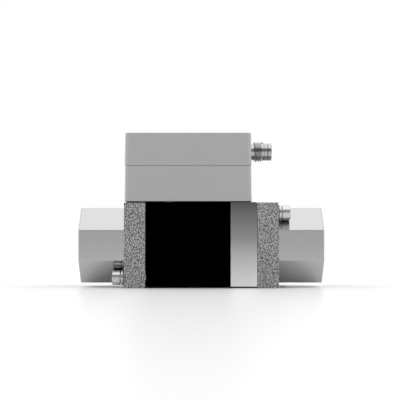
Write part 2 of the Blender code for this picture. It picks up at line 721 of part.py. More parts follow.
def make_stem_seal(name, place_x, stem_radius, rubber):
    radius = stem_radius + SEAL_GAP + STEM_SEAL_SECTION / 2
    ring = seal_ring(name, radius, STEM_SEAL_SECTION, rubber, SCREW_SEGMENTS)
    place(ring, (place_x, 0, HEAD_SEAT - STEM_SEAL_SECTION / 2))
    soften(ring)


def make_clamp(steel):
    bottom = POCKET_FLOOR + SEAT_GAP
    top = bottom + CLAMP_THICKNESS
    centre = (CLAMP_CENTRE, 0)
    rings = []
    for height in (bottom, top):
        rings.append(rectangle(CLAMP_HALF_LENGTH, CLAMP_HALF_WIDTH, CLAMP_CORNER, height, centre))
    plate = skin("clamp_plate", rings, steel)
    lead_hole = rod("lead hole", LEAD_HOLE_RADIUS, bottom - CUT, top + CUT, SMALL_SEGMENTS)
    cutters = [place(lead_hole, (PADDLE_PLACE, 0, 0))]
    for x in CLAMP_SCREW_PLACES:
        cutters.append(place(m25_hole(top, CLAMP_THICKNESS + CUT), (x, 0, 0)))
    soften(cut(plate, cutters))
    for number, x in enumerate(CLAMP_SCREW_PLACES, start=1):
        screw = m25_screw(f"clamp_screw_{number}", CLAMP_SCREW_LENGTH, steel)
        place(screw, (x, 0, top + SEAT_GAP))
        soften(screw)


# Electronics housing


def boss_places():
    return [(HOUSING_CENTRE + x * BOSS_HALF_X, y * BOSS_HALF_Y) for x in (-1, 1) for y in (-1, 1)]


def standoff_places():
    """The four corners of the board's hole pattern. The first and the last carry screws."""
    places = []
    for x in (-1, 1):
        for y in (-1, 1):
            places.append((HOUSING_CENTRE + x * STANDOFF_HALF_X, y * STANDOFF_HALF_Y))
    return places


def shell_block(name, bottom, top, high_edge, material):
    rings = eased_block(
        HOUSING_LENGTH / 2,
        HOUSING_HALF_DEPTH,
        SHELL_CORNER,
        bottom,
        top,
        SHELL_EDGE,
        high_edge,
        draft=DRAFT,
        centre=(HOUSING_CENTRE, 0),
    )
    return skin(name, rings, material)


def shell_cavity(bottom, top):
    half_x = HOUSING_LENGTH / 2 - SHELL_WALL
    half_y = HOUSING_HALF_DEPTH - SHELL_WALL
    rings = []
    for height in (bottom, top):
        rings.append(rectangle(half_x, half_y, SHELL_INNER_CORNER, height, (HOUSING_CENTRE, 0)))
    return skin("cavity", rings)


def make_housing_base(plastic, rubber, steel):
    base = shell_block("housing_base", BASE_BOTTOM, BASE_TOP, SEAM_EDGE, plastic)
    cut(base, [shell_cavity(BASE_FLOOR, BASE_TOP + CUT)])
    posts = []
    for x, y in boss_places():
        boss = rod("boss", COVER_BOSS_RADIUS, BASE_FLOOR - CUT, BASE_TOP, POST_SEGMENTS)
        posts.append(place(boss, (x, y, 0)))
    standoff_top = BASE_FLOOR + STANDOFF_HEIGHT
    for x, y in standoff_places():
        standoff = rod("standoff", STANDOFF_RADIUS, BASE_FLOOR - CUT, standoff_top, POST_SEGMENTS)
        posts.append(place(standoff, (x, y, 0)))
    unite(base, posts)
    cover_tip = COVER_TOP - COVER_SCREW_SINK - M25_HEAD_HEIGHT - COVER_SCREW_LENGTH
    cutters = []
    for x, y in boss_places():
        cutters.append(place(m25_hole(0, BASE_TOP - cover_tip + HOLE_RUNOUT), (x, y, BASE_TOP)))
    board_depth = BOARD_SCREW_LENGTH - BOARD_THICKNESS - 2 * SEAT_GAP + HOLE_RUNOUT
    for x, y in standoff_places()[::3]:
        cutters.append(place(m25_hole(0, board_depth), (x, y, standoff_top)))
    for x, y in BASE_SCREW_PLACES:
        cutters.append(place(m3_hole(0, SHELL_FLOOR + CUT), (x, y, BASE_FLOOR)))
    window_rings = []
    for height in (BASE_BOTTOM - CUT, BASE_FLOOR + CUT):
        window_rings.append(
            rectangle(
                CLAMP_HALF_LENGTH + SEAT_GAP + WINDOW_MARGIN,
                CLAMP_HALF_WIDTH + SEAT_GAP + WINDOW_MARGIN,
                CLAMP_CORNER + SEAT_GAP + WINDOW_MARGIN,
                height,
                (CLAMP_CENTRE, 0),
            )
        )
    cutters.append(skin("window", window_rings))
    groove_inset = GASKET_INSET - SEAL_GAP
    groove = loop_band(
        "gasket groove",
        HOUSING_LENGTH / 2 - groove_inset,
        HOUSING_HALF_DEPTH - groove_inset,
        SHELL_CORNER,
        GASKET_WIDTH + 2 * SEAL_GAP,
        BASE_TOP - GASKET_HEIGHT,
        BASE_TOP + CUT,
        centre=(HOUSING_CENTRE, 0),
    )
    cutters.append(groove)
    soften(cut(base, cutters))
    gasket = loop_band(
        "housing_gasket",
        HOUSING_LENGTH / 2 - GASKET_INSET,
        HOUSING_HALF_DEPTH - GASKET_INSET,
        SHELL_CORNER - SEAL_GAP,
        GASKET_WIDTH,
        BASE_TOP - GASKET_HEIGHT + SEAL_GAP,
        BASE_TOP + SEAT_GAP - SEAL_GAP,
        rubber,
        centre=(HOUSING_CENTRE, 0),
    )
    soften(gasket)
    grow = SEAT_GAP + BASE_SEAL_WALL + BASE_SEAL_SECTION + SEAL_GAP
    seal = loop_band(
        "base_seal",
        CLAMP_HALF_LENGTH + grow,
        CLAMP_HALF_WIDTH + grow,
        CLAMP_CORNER + grow,
        BASE_SEAL_SECTION,
        BODY_TOP - BASE_SEAL_SECTION + SEAL_GAP,
        BODY_TOP + SEAT_GAP - SEAL_GAP,
        rubber,
        centre=(CLAMP_CENTRE, 0),
    )
    soften(seal)
    for number, (x, y) in enumerate(BASE_SCREW_PLACES, start=1):
        screw = m3_screw(f"base_screw_{number}", BASE_SCREW_LENGTH, steel)
        place(screw, (x, y, BASE_FLOOR + SEAT_GAP))
        soften(screw)


def make_housing_cover(plastic, steel):
    cover = shell_block("housing_cover", COVER_BOTTOM, COVER_TOP, SHELL_EDGE, plastic)
    ceiling = COVER_TOP - SHELL_FLOOR
    cut(cover, [shell_cavity(COVER_BOTTOM - CUT, ceiling)])
    posts = []
    for x, y in boss_places():
        boss = rod("boss", COVER_BOSS_RADIUS, COVER_BOTTOM, ceiling + CUT, POST_SEGMENTS)
        posts.append(place(boss, (x, y, 0)))
    plug_place = (CONNECTOR_FACE, 0, CONNECTOR_HEIGHT)
    hole_radius = CONNECTOR_SHANK_RADIUS + SEAT_GAP
    plug_boss = rod("plug boss", hole_radius + CONNECTOR_BOSS_WALL, CONNECTOR_BACK, -SHELL_WALL / 2)
    posts.append(place(plug_boss, plug_place, TOWARDS_RIGHT))
    unite(cover, posts)
    plug_hole = rod("plug hole", hole_radius, CONNECTOR_BACK - CUT, CUT)
    cutters = [place(plug_hole, plug_place, TOWARDS_RIGHT)]
    head_top = COVER_TOP - COVER_SCREW_SINK
    seat = head_top - M25_HEAD_HEIGHT - SEAT_GAP
    for x, y in boss_places():
        cutters.append(place(m25_hole(0, COVER_HEIGHT + CUT), (x, y, COVER_TOP)))
        counterbore = rod("counterbore", M25_HEAD / 2 + HEAD_GAP, seat, COVER_TOP + CUT, SCREW_SEGMENTS)
        cutters.append(place(counterbore, (x, y, 0)))
    soften(cut(cover, cutters))
    for number, (x, y) in enumerate(boss_places(), start=1):
        screw = m25_screw(f"cover_screw_{number}", COVER_SCREW_LENGTH, steel)
        place(screw, (x, y, head_top - M25_HEAD_HEIGHT))
        soften(screw)


# Circuit board and the paddle's lead


def plain_block(name, centre, length, width, bottom, top, material):
    rings = []
    for height in (bottom, top):
        corners = ((-1, -1), (1, -1), (1, 1), (-1, 1))
        points = [(centre[0] + x * length / 2, centre[1] + y * width / 2) for x, y in corners]
        rings.append([Vector((x, y, height)) for x, y in points])
    return skin(name, rings, material)


def make_electronics(laminate, black, steel, rubber):
    middle = (HOUSING_CENTRE, 0)
    board = plain_block(
        "circuit_board", middle, BOARD_LENGTH, BOARD_WIDTH, BOARD_BOTTOM, BOARD_TOP, laminate
    )
    holes = []
    for x, y in standoff_places()[::3]:
        holes.append(place(m25_hole(BOARD_TOP, BOARD_THICKNESS + CUT), (x, y, 0)))
    soften(cut(board, holes))
    for number, (x, y) in enumerate(standoff_places()[::3], start=1):
        screw = m25_screw(f"board_screw_{number}", BOARD_SCREW_LENGTH, steel)
        place(screw, (x, y, BOARD_TOP + SEAT_GAP))
        soften(screw)
    chip_bottom = BOARD_TOP + SEAT_GAP
    plain_block("processor_chip", middle, CHIP_SIDE, CHIP_SIDE, chip_bottom, chip_bottom + CHIP_THICKNESS, black)
    header_top = BOARD_BOTTOM - SEAT_GAP
    header_place = (PADDLE_PLACE - LEAD_SWAY, 0)
    plain_block(
        "lead_header",
        header_place,
        HEADER_LENGTH,
        HEADER_WIDTH,
        header_top - HEADER_HEIGHT,
        header_top,
        black,
    )
    make_lead(header_place[0], header_top - HEADER_HEIGHT - SEAT_GAP, rubber)


def make_lead(end_x, end_height, rubber):
    """A short lead that leaves the paddle upwards, sways sideways and enters the header upwards."""
    start_height = POCKET_FLOOR + SEAT_GAP
    points = []
    for step in range(LEAD_STEPS + 1):
        share = step / LEAD_STEPS
        sway = share * share * (3 - 2 * share)
        x = PADDLE_PLACE + (end_x - PADDLE_PLACE) * sway
        points.append((x, 0, start_height + (end_height - start_height) * share, 1))
    curve = bpy.data.curves.new("sensor_lead", "CURVE")
    curve.dimensions = "3D"
    curve.bevel_depth = LEAD_DIAMETER / 2
    curve.bevel_resolution = 2
    curve.use_fill_caps = True
    spline = curve.splines.new("POLY")
    spline.points.add(len(points) - 1)
    for point, co in zip(spline.points, points):
        point.co = co
    curve.materials.append(rubber)
    lead = bpy.data.objects.new("sensor_lead", curve)
    bpy.context.scene.collection.objects.link(lead)


# Round plug, modelled with the housing's wall at height 0 and its mouth on top


def make_connector(nickel, black, gold):
    crest = CONNECTOR_THREAD_RADIUS
    root = crest - CONNECTOR_THREAD_HEIGHT
    flat = CONNECTOR_PITCH / 8
    slope = (CONNECTOR_PITCH - 2 * flat) / 2
    profile = [
        (CONNECTOR_SHANK_RADIUS, CONNECTOR_BACK),
        (CONNECTOR_SHANK_RADIUS, CONNECTOR_SHANK_STEP),
        (CONNECTOR_NECK_RADIUS, CONNECTOR_SHANK_STEP),
        (CONNECTOR_NECK_RADIUS, CONNECTOR_THREAD_START),
    ]
    for turn in range(CONNECTOR_TURNS):
        start = CONNECTOR_THREAD_START + turn * CONNECTOR_PITCH
        profile += [
            (root, start + flat / 2),
            (crest, start + flat / 2 + slope),
            (crest, start + 3 * flat / 2 + slope),
            (root, start + CONNECTOR_PITCH - flat / 2),
        ]
    sleeve = CONNECTOR_SLEEVE_RADIUS
    groove_height = (CONNECTOR_THREAD_END + CONNECTOR_MOUTH) / 2
    profile += [
        (sleeve, CONNECTOR_THREAD_END),
        (sleeve, groove_height - CONNECTOR_GROOVE),
        (sleeve - CONNECTOR_GROOVE, groove_height),
        (sleeve, groove_height + CONNECTOR_GROOVE),
        (sleeve, CONNECTOR_MOUTH - CONNECTOR_GROOVE),
        (sleeve - CONNECTOR_GROOVE, CONNECTOR_MOUTH),
        (CONNECTOR_BORE_RADIUS, CONNECTOR_MOUTH),
        (CONNECTOR_BORE_RADIUS, CONNECTOR_BACK),
    ]
    wall = (CONNECTOR_FACE, 0, CONNECTOR_HEIGHT)
    shell = turned("connector_shell", profile, nickel, closed=True)
    soften(place(shell, wall, TOWARDS_RIGHT))
    insert_radius = CONNECTOR_BORE_RADIUS - SEAT_GAP
    insert_face = CONNECTOR_MOUTH - INSERT_DEPTH
    insert = turned("connector_insert", [(insert_radius, CONNECTOR_BACK), (insert_radius, insert_face)], black)
    pin_places = [(x * PIN_SPACING / 2, y * PIN_SPACING / 2) for x in (-1, 1) for y in (-1, 1)]
    holes = []
    for x, y in pin_places:
        hole = rod("pin hole", PIN_RADIUS + PIN_GAP, CONNECTOR_BACK - CUT, insert_face + CUT, PIN_SEGMENTS)
        holes.append(place(hole, (x, y, 0)))
    cut(insert, holes)
    soften(place(insert, wall, TOWARDS_RIGHT))
    turn = Euler(TOWARDS_RIGHT).to_matrix()
    for number, (x, y) in enumerate(pin_places, start=1):
        profile = [
            (PIN_RADIUS, CONNECTOR_BACK - PIN_TAIL),
            (PIN_RADIUS, CONNECTOR_MOUTH - PIN_DEPTH - PIN_RADIUS / 2),
            (PIN_RADIUS / 2, CONNECTOR_MOUTH - PIN_DEPTH),
        ]
        pin = turned(f"contact_pin_{number}", profile, gold, PIN_SEGMENTS)
        soften(place(pin, Vector(wall) + turn @ Vector((x, y, 0)), TOWARDS_RIGHT))


def main():
    clear_scene()
    casting = make_material("cast stainless steel", (0.52, 0.52, 0.51), 1.0, 0.4)
    steel = make_material("polished stainless steel", (0.55, 0.55, 0.54), 1.0, 0.2)
    black_plastic = make_material("black glass-filled plastic", (0.01, 0.01, 0.01), 0.0, 0.5)
    grey_plastic = make_material("grey moulded plastic", (0.36, 0.36, 0.36), 0.0, 0.45)
    natural_plastic = make_material("natural fluoropolymer", (0.75, 0.73, 0.68), 0.0, 0.4)
    rubber = make_material("black rubber", (0.02, 0.02, 0.02), 0.0, 0.7)
    foil = make_material("black and silver foil", (0.02, 0.02, 0.02), 0.0, 0.4)
    nickel = make_material("nickel-plated brass", (0.5, 0.49, 0.47), 1.0, 0.25)
    gold = make_material("gold-plated brass", (0.8, 0.55, 0.2), 1.0, 0.25)
    laminate = make_material("green circuit board", (0.02, 0.12, 0.04), 0.0, 0.4)

    make_adapters(casting, steel, rubber)
    make_measuring_body(black_plastic)
    make_label(foil)
    make_shedder(natural_plastic, rubber)
    make_paddle(natural_plastic, rubber)
    make_clamp(steel)
    make_housing_base(grey_plastic, rubber, steel)
    make_housing_cover(grey_plastic, steel)
    make_electronics(laminate, black_plastic, steel, rubber)
    make_connector(nickel, black_plastic, gold)


main()
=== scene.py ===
# %% [markdown]
# # A compact vortex flow sensor
#
# This sensor is screwed into a half inch water line. A bar inside it sheds vortices, a thin paddle
# counts them, and nothing in it moves. The CAD model gives every piece its size and place. This lesson
# loads that model as a fixed frame, models the pieces that the eye meets in finer detail, and gives each
# piece the finish of its real material.

# %% Load the CAD model
import math

import bmesh
import bpy
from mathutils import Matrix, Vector


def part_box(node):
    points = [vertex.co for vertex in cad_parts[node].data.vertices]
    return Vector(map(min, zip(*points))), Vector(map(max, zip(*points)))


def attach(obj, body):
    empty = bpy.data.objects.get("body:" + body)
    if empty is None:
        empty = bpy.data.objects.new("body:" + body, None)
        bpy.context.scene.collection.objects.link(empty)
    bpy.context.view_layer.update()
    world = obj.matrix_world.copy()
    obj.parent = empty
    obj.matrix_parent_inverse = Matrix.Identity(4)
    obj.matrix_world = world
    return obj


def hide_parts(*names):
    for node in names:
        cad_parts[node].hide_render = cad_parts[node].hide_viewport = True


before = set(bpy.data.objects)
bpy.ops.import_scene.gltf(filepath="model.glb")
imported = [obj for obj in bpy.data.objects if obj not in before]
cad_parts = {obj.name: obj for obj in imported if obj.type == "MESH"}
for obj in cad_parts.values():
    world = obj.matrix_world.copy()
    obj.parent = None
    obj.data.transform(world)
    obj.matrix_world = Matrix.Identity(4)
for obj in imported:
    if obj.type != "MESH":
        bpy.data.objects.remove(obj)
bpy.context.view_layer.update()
MM = 0.001

# %% [markdown]
# ## The camera
#
# The photograph is taken from a little above the floor with a long lens, almost square on, so the
# sensor's front shows nearly flat. The lens follows from the angle that one millimetre of the front
# fills, and the small upward tilt from where the upright edges lean together.

# %% Camera
CAMERA_PLACE = Vector((-0.49, -381.1, 15.1)) * MM
CAMERA_TILT = math.radians(2.715)
LENS = 89.27
SENSOR_WIDTH = 36.0

camera_data = bpy.data.cameras.new("product camera")
camera_data.lens = LENS
camera_data.sensor_width = SENSOR_WIDTH
camera_data.clip_start = 10 * MM
camera = bpy.data.objects.new("product camera", camera_data)
camera.location = CAMERA_PLACE
camera.rotation_euler = (math.pi / 2 + CAMERA_TILT, 0, 0)
bpy.context.scene.collection.objects.link(camera)
bpy.context.scene.camera = camera
bpy.context.scene.view_settings.view_transform = "Standard"
print("camera", [round(v / MM, 1) for v in camera.location], "lens", LENS, "mm")

# %% [markdown]
# ## Helpers for materials
#
# Colours are written as sRGB hex values, as a paint chart gives them, and Blender wants them linear. A
# node tree is easier to read when each node is added with its settings and its links in one call.
# Sockets that share a name, as on a Mix node, are given by their number. Every pattern below reads
# Object coordinates, so its scale is a real size on the sensor.

# %% Colour and node helpers
def linear(hex_colour):
    """An sRGB hex value as linear red, green, blue and alpha, by the sRGB standard's curve."""
    channels = []
    for start in (1, 3, 5):
        value = int(hex_colour[start:start + 2], 16) / 255
        channels.append(value / 12.92 if value <= 0.04045 else ((value + 0.055) / 1.055) ** 2.4)
    return (*channels, 1.0)


def add_node(tree, kind, settings=None, links=None, feeds=None):
    """Adds a node. Links bring outputs to its inputs, and feeds take its outputs to other inputs."""
    node = tree.nodes.new(kind)
    for name, value in (settings or {}).items():
        if isinstance(name, str) and hasattr(node, name):
            setattr(node, name, value)
        else:
            node.inputs[name].default_value = value
    for name, output in (links or {}).items():
        tree.links.new(output, node.inputs[name])
    for name, socket in (feeds or {}).items():
        tree.links.new(node.outputs[name], socket)
    return node


def new_finish(name, colour, metallic, roughness):
    """A Principled material whose plain values sit on the shader's own sockets."""
    finish = bpy.data.materials.new(name)
    finish.use_nodes = True
    shader = finish.node_tree.nodes["Principled BSDF"]
    shader.inputs["Base Color"].default_value = linear(colour)
    shader.inputs["Metallic"].default_value = metallic
    shader.inputs["Roughness"].default_value = roughness
    return finish, finish.node_tree, shader


print("mid grey #808080 is linear", round(linear("#808080")[0], 3))

# %% [markdown]
# ## The studio: the room that steel mirrors
#
# The sensor stands on a white table in front of a white background. Steel shows what stands round it,
# so the room matters as much as the steel: a bright soft box overhead, white walls beside and behind,
# and a darker room behind the camera. A colour ramp over the height of a ray's direction gives the
# room in front, and Map Range nodes blend it into the walls behind.

# %% Room in front
SOFT_BOX = 1.55
TABLE_LEVEL = 0.70
DARK_ROOM = 0.25

world = bpy.data.worlds.new("white studio")
bpy.context.scene.world = world
world.use_nodes = True
sky = world.node_tree
direction = add_node(sky, "ShaderNodeTexCoord")
ray_parts = add_node(sky, "ShaderNodeSeparateXYZ", links={"Vector": direction.outputs["Generated"]})
height = add_node(
    sky, "ShaderNodeMapRange", {"From Min": -1.0, "From Max": 1.0}, {"Value": ray_parts.outputs["Z"]}
)
front_room = add_node(sky, "ShaderNodeValToRGB", links={"Fac": height.outputs["Result"]})
# The height of a ray's direction, from 0 straight down to 1 straight up, and the brightness there.
ROOM_STEPS = (
    (0.43, 0.92),
    (0.475, TABLE_LEVEL),
    (0.53, TABLE_LEVEL),
    (0.57, 0.37),
    (0.62, DARK_ROOM),
    (0.81, DARK_ROOM),
    (0.92, SOFT_BOX),
)
ramp = front_room.color_ramp
while len(ramp.elements) < len(ROOM_STEPS):
    ramp.elements.new(0.5)
for element, (position, level) in zip(ramp.elements, ROOM_STEPS):
    element.position = position
    element.color = (level, level, level, 1.0)
print("room in front has", len(ROOM_STEPS), "levels")

# %% Walls and soft box
WALL = 1.0
FRONT_TO_WALLS = (-0.3, 0.2)  # where the walls take over, going from the front to the back
WALLS_TO_SOFT_BOX = (0.55, 0.85)  # where the soft box takes over, going up

start, end = FRONT_TO_WALLS
behind = add_node(
    sky, "ShaderNodeMapRange", {"From Min": start, "From Max": end}, {"Value": ray_parts.outputs["Y"]}
)
start, end = WALLS_TO_SOFT_BOX
overhead = add_node(
    sky,
    "ShaderNodeMapRange",
    {"From Min": start, "From Max": end, "To Min": WALL, "To Max": SOFT_BOX},
    {"Value": ray_parts.outputs["Z"]},
)
room = add_node(
    sky,
    "ShaderNodeMix",
    {"data_type": "FLOAT"},
    {0: behind.outputs["Result"], 2: front_room.outputs["Color"], 3: overhead.outputs["Result"]},
)
print("walls", WALL, "soft box", SOFT_BOX)

# %% [markdown]
# ## The studio: the light on matt pieces
#
# Matt pieces are lit by a soft light at which a colour renders about as it is written. It comes most
# from high on the left and the right, as from two large soft boxes, so round corners are lighter than
# the front. One factor goes round the sensor and another one up, and the two are multiplied.

# %% Soft light round the sensor
FRONT_LIGHT = 0.5
SIDE_LIGHT = 2.2
BACK_LIGHT = 0.4
FRONT_TO_BACK = (-0.2, 0.4)
FRONT_TO_SIDE = (0.3, 0.8)

start, end = FRONT_TO_BACK
front_to_back = add_node(
    sky,
    "ShaderNodeMapRange",
    {
        "interpolation_type": "SMOOTHSTEP",
        "From Min": start,
        "From Max": end,
        "To Min": FRONT_LIGHT,
        "To Max": BACK_LIGHT,
    },
    {"Value": ray_parts.outputs["Y"]},
)
sideways = add_node(sky, "ShaderNodeMath", {"operation": "ABSOLUTE"}, {0: ray_parts.outputs["X"]})
start, end = FRONT_TO_SIDE
at_side = add_node(
    sky,
    "ShaderNodeMapRange",
    {"interpolation_type": "SMOOTHSTEP", "From Min": start, "From Max": end},
    {"Value": sideways.outputs[0]},
)
round_about = add_node(
    sky,
    "ShaderNodeMix",
    {"data_type": "FLOAT", 3: SIDE_LIGHT},
    {0: at_side.outputs["Result"], 2: front_to_back.outputs["Result"]},
)
print("front light", FRONT_LIGHT, "side light", SIDE_LIGHT, "back light", BACK_LIGHT)

# %% Soft light from low to high
LOW_SHARE = 0.2
HIGH_SHARE = 1.22
FULL_HEIGHT = 0.6

share = add_node(
    sky,
    "ShaderNodeMapRange",
    {
        "interpolation_type": "SMOOTHSTEP",
        "From Max": FULL_HEIGHT,
        "To Min": LOW_SHARE,
        "To Max": HIGH_SHARE,
    },
    {"Value": ray_parts.outputs["Z"]},
)
soft = add_node(
    sky,
    "ShaderNodeMath",
    {"operation": "MULTIPLY"},
    {0: round_about.outputs[0], 1: share.outputs["Result"]},
)
print("light from low down times", LOW_SHARE, "and from high up times", HIGH_SHARE)

# %% [markdown]
# ## The studio: which ray sees what
#
# Light Path tells the rays apart. A glossy ray meets the mirrored room, a diffuse ray meets the soft
# light, and the camera sees plain white, so the background stays white however the light is set.

# %% Rays
ray = add_node(sky, "ShaderNodeLightPath")
seen = add_node(
    sky,
    "ShaderNodeMath",
    {"operation": "MAXIMUM"},
    {0: ray.outputs["Is Camera Ray"], 1: ray.outputs["Is Transmission Ray"]},
)
mirrored = add_node(
    sky,
    "ShaderNodeMix",
    {"data_type": "FLOAT"},
    {0: ray.outputs["Is Glossy Ray"], 2: soft.outputs[0], 3: room.outputs[0]},
)
strength = add_node(
    sky,
    "ShaderNodeMix",
    {"data_type": "FLOAT", 3: 1.0},
    {0: seen.outputs[0], 2: mirrored.outputs[0]},
)
background = sky.nodes["Background"]
sky.links.new(strength.outputs[0], background.inputs["Strength"])
background.inputs["Color"].default_value = (1.0, 1.0, 1.0, 1.0)
print("studio nodes:", len(sky.nodes))

# %% [markdown]
# ## The table
#
# One white sheet carries the sensor. It takes a soft shadow, and its satin surface holds a dim, blurred
# reflection of the sensor, which shows because the camera looks along it. It is far wider than the view,
# so its edge never shows. Its colour is chosen so that it renders white in this light.

# %% White table
TABLE_SIZE = 8.0

bpy.ops.object.select_all(action="DESELECT")
bpy.ops.mesh.primitive_plane_add(size=TABLE_SIZE, location=(0, 0, 0))
table = bpy.context.object
table.name = "white_table"
table_finish = new_finish("satin white table", "#fbfbfb", metallic=0.0, roughness=0.345)[0]
table.data.materials.append(table_finish)
print("table", TABLE_SIZE, "m wide")

# %% [markdown]
# ## Helpers for modelling
#
# An edit-mode operator acts on whatever is selected. So each step first deselects everything and then
# picks faces or edges by where they lie or which way they face, which keeps working when a size
# changes. A piece's place goes into its mesh as soon as it is added, so positions in edit mode are
# positions on the sensor.

# %% Selecting faces and edges
SAME_PLACE = 0.001 * MM
SAME_LEVEL = 0.01 * MM


def pick_faces(test):
    """Selects the faces whose centre and normal pass the test."""
    bpy.ops.mesh.select_mode(type="FACE")
    bpy.ops.mesh.select_all(action="DESELECT")
    mesh = bmesh.from_edit_mesh(bpy.context.object.data)
    for face in mesh.faces:
        if test(face.calc_center_median(), face.normal):
            face.select_set(True)
    bmesh.update_edit_mesh(bpy.context.object.data)


def pick_edges(test):
    """Selects the edges that pass the test."""
    bpy.ops.mesh.select_mode(type="EDGE")
    bpy.ops.mesh.select_all(action="DESELECT")
    mesh = bmesh.from_edit_mesh(bpy.context.object.data)
    for edge in mesh.edges:
        if test(edge):
            edge.select_set(True)
    bmesh.update_edit_mesh(bpy.context.object.data)


def reach_along(edge, k):
    """How far an edge reaches along one axis, 0 for X, 1 for Y and 2 for Z."""
    return abs(edge.verts[0].co[k] - edge.verts[1].co[k])


def along(axis):
    """A test for edges that run along an axis."""
    others = [k for k in range(3) if k != "XYZ".index(axis)]
    return lambda edge: all(reach_along(edge, k) < SAME_PLACE for k in others)


def at_level(axis, level):
    """A test for edges that lie in one plane across an axis."""
    k = "XYZ".index(axis)
    return lambda edge: all(abs(end.co[k] - level) < SAME_LEVEL for end in edge.verts)


print("points closer than", SAME_PLACE / MM, "mm are one place")


# %% Opening and settling a piece
def choose(piece):
    """Selects one piece alone and makes it the active one."""
    bpy.ops.object.select_all(action="DESELECT")
    piece.select_set(True)
    bpy.context.view_layer.objects.active = piece


def edit_all():
    """Opens the active piece in edit mode with everything selected."""
    bpy.ops.object.mode_set(mode="EDIT")
    bpy.ops.mesh.select_all(action="SELECT")


def settle(name):
    """Names the piece that was just added and puts its place, turn and size into its mesh."""
    piece = bpy.context.object
    piece.name = name
    bpy.ops.object.transform_apply(location=True, rotation=True, scale=True)
    return piece


print("pieces can be chosen, opened and settled")


# %% Blocks, sections and cuts
def block(name, low, high):
    """A cuboid between two corners."""
    low, high = Vector(low), Vector(high)
    bpy.ops.object.select_all(action="DESELECT")
    bpy.ops.mesh.primitive_cube_add(size=1, location=(low + high) / 2, scale=high - low)
    return settle(name)


def section(name, low_radius, high_radius, width):
    """A flat section beside the X axis, width wide along it and standing between two radii."""
    bpy.ops.object.select_all(action="DESELECT")
    middle = (low_radius + high_radius) / 2
    bpy.ops.mesh.primitive_plane_add(size=1, location=(0, 0, middle), rotation=(math.pi / 2, 0, 0))
    bpy.context.object.scale = (width, high_radius - low_radius, 1)
    return settle(name)


def combine(piece, tool, operation):
    """Cuts a tool from the piece or unites it with it."""
    modifier = piece.modifiers.new(operation.lower(), "BOOLEAN")
    modifier.operation = operation
    modifier.solver = "EXACT"
    modifier.object = tool
    bpy.context.view_layer.objects.active = piece
    bpy.ops.object.modifier_apply(modifier=modifier.name)
    bpy.data.objects.remove(tool, do_unlink=True)


print("blocks, sections and cuts are ready")

# %% [markdown]
# ## Turned shapes
#
# Screws, bores, bosses and the plug are round, as a lathe leaves them. Each starts as a circle that
# is extruded along its axis and resized at every step of its profile, which keeps every ring a clean
# loop. A solid shape starts from a filled circle. A tube starts from an open one, and its last ring
# meets the first.

# %% Lathe
AXES = {
    "X": (Vector((1, 0, 0)), (0, math.pi / 2, 0)),
    "Z": (Vector((0, 0, 1)), (0, 0, 0)),
}


def turn(name, axis, foot, profile, segments=48, tube=False):
    """Turns a profile of (height, radius) pairs about an axis that starts at foot."""
    along_axis, rotation = AXES[axis]
    foot = Vector(foot)
    height, radius = profile[0]
    bpy.ops.object.select_all(action="DESELECT")
    bpy.ops.mesh.primitive_circle_add(
        vertices=segments,
        radius=radius,
        fill_type="NOTHING" if tube else "NGON",
        location=foot + along_axis * height,
        rotation=rotation,
    )
    piece = settle(name)
    edit_all()
    for next_height, next_radius in profile[1:]:
        step = along_axis * (next_height - height)
        if tube:
            bpy.ops.mesh.extrude_edges_move(TRANSFORM_OT_translate={"value": step})
        else:
            bpy.ops.mesh.extrude_region_move(TRANSFORM_OT_translate={"value": step})
        ratio = next_radius / radius
        centre = foot + along_axis * next_height
        bpy.ops.transform.resize(value=(ratio, ratio, ratio), center_override=centre)
        height, radius = next_height, next_radius
    bpy.ops.mesh.select_all(action="SELECT")
    bpy.ops.mesh.remove_doubles(threshold=SAME_PLACE)
    bpy.ops.mesh.normals_make_consistent(inside=False)
    bpy.ops.object.mode_set(mode="OBJECT")
    return piece


print("lathe ready for axes", sorted(AXES))

# %% [markdown]
# ## Finishing a piece
#
# Every new piece rides on the sensor's one rigid body and stands for the CAD node that it refines.
# Round faces are shaded smooth and real edges stay sharp. A piece that repeats is copied with a mesh of
# its own, and the copy is turned or moved in edit mode.

# %% Seating pieces
BODY = "root"


def smooth(piece, angle=30):
    """Shades the piece smooth, apart from edges sharper than the angle."""
    choose(piece)
    bpy.ops.object.shade_smooth_by_angle(angle=math.radians(angle))


def seat(piece, slot, *nodes):
    """Puts the piece on the body, in place of the CAD nodes that it refines. The slot is not used."""
    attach(piece, BODY)
    if nodes:
        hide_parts(*nodes)
    print(piece.name, "has", len(piece.data.polygons), "faces")


print("new pieces ride on", BODY)


# %% Copies and CAD corners
def own_copy(piece, name):
    """A copy with its own mesh, selected and active."""
    choose(piece)
    bpy.ops.object.duplicate(linked=False)
    copy = bpy.context.object
    copy.name = name
    return copy


def half_turned_copy(piece, name, axis):
    """A copy turned half round about an axis through the middle of the flanges."""
    copy = own_copy(piece, name)
    edit_all()
    bpy.ops.transform.rotate(value=math.pi, orient_axis=axis, center_override=(0, 0, AXIS_HEIGHT))
    bpy.ops.object.mode_set(mode="OBJECT")
    return copy


def shifted_copy(piece, name, shift):
    """A copy moved by a shift."""
    copy = own_copy(piece, name)
    edit_all()
    bpy.ops.transform.translate(value=shift)
    bpy.ops.object.mode_set(mode="OBJECT")
    return copy


def corners(node):
    """A CAD node's lowest and highest corner."""
    return [Vector(corner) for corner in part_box(node)]


outlet_low, outlet_high = corners("outlet_adapter")
AXIS_HEIGHT = (outlet_low.z + outlet_high.z) / 2
print("pipe axis at", round(AXIS_HEIGHT / MM, 2), "mm")
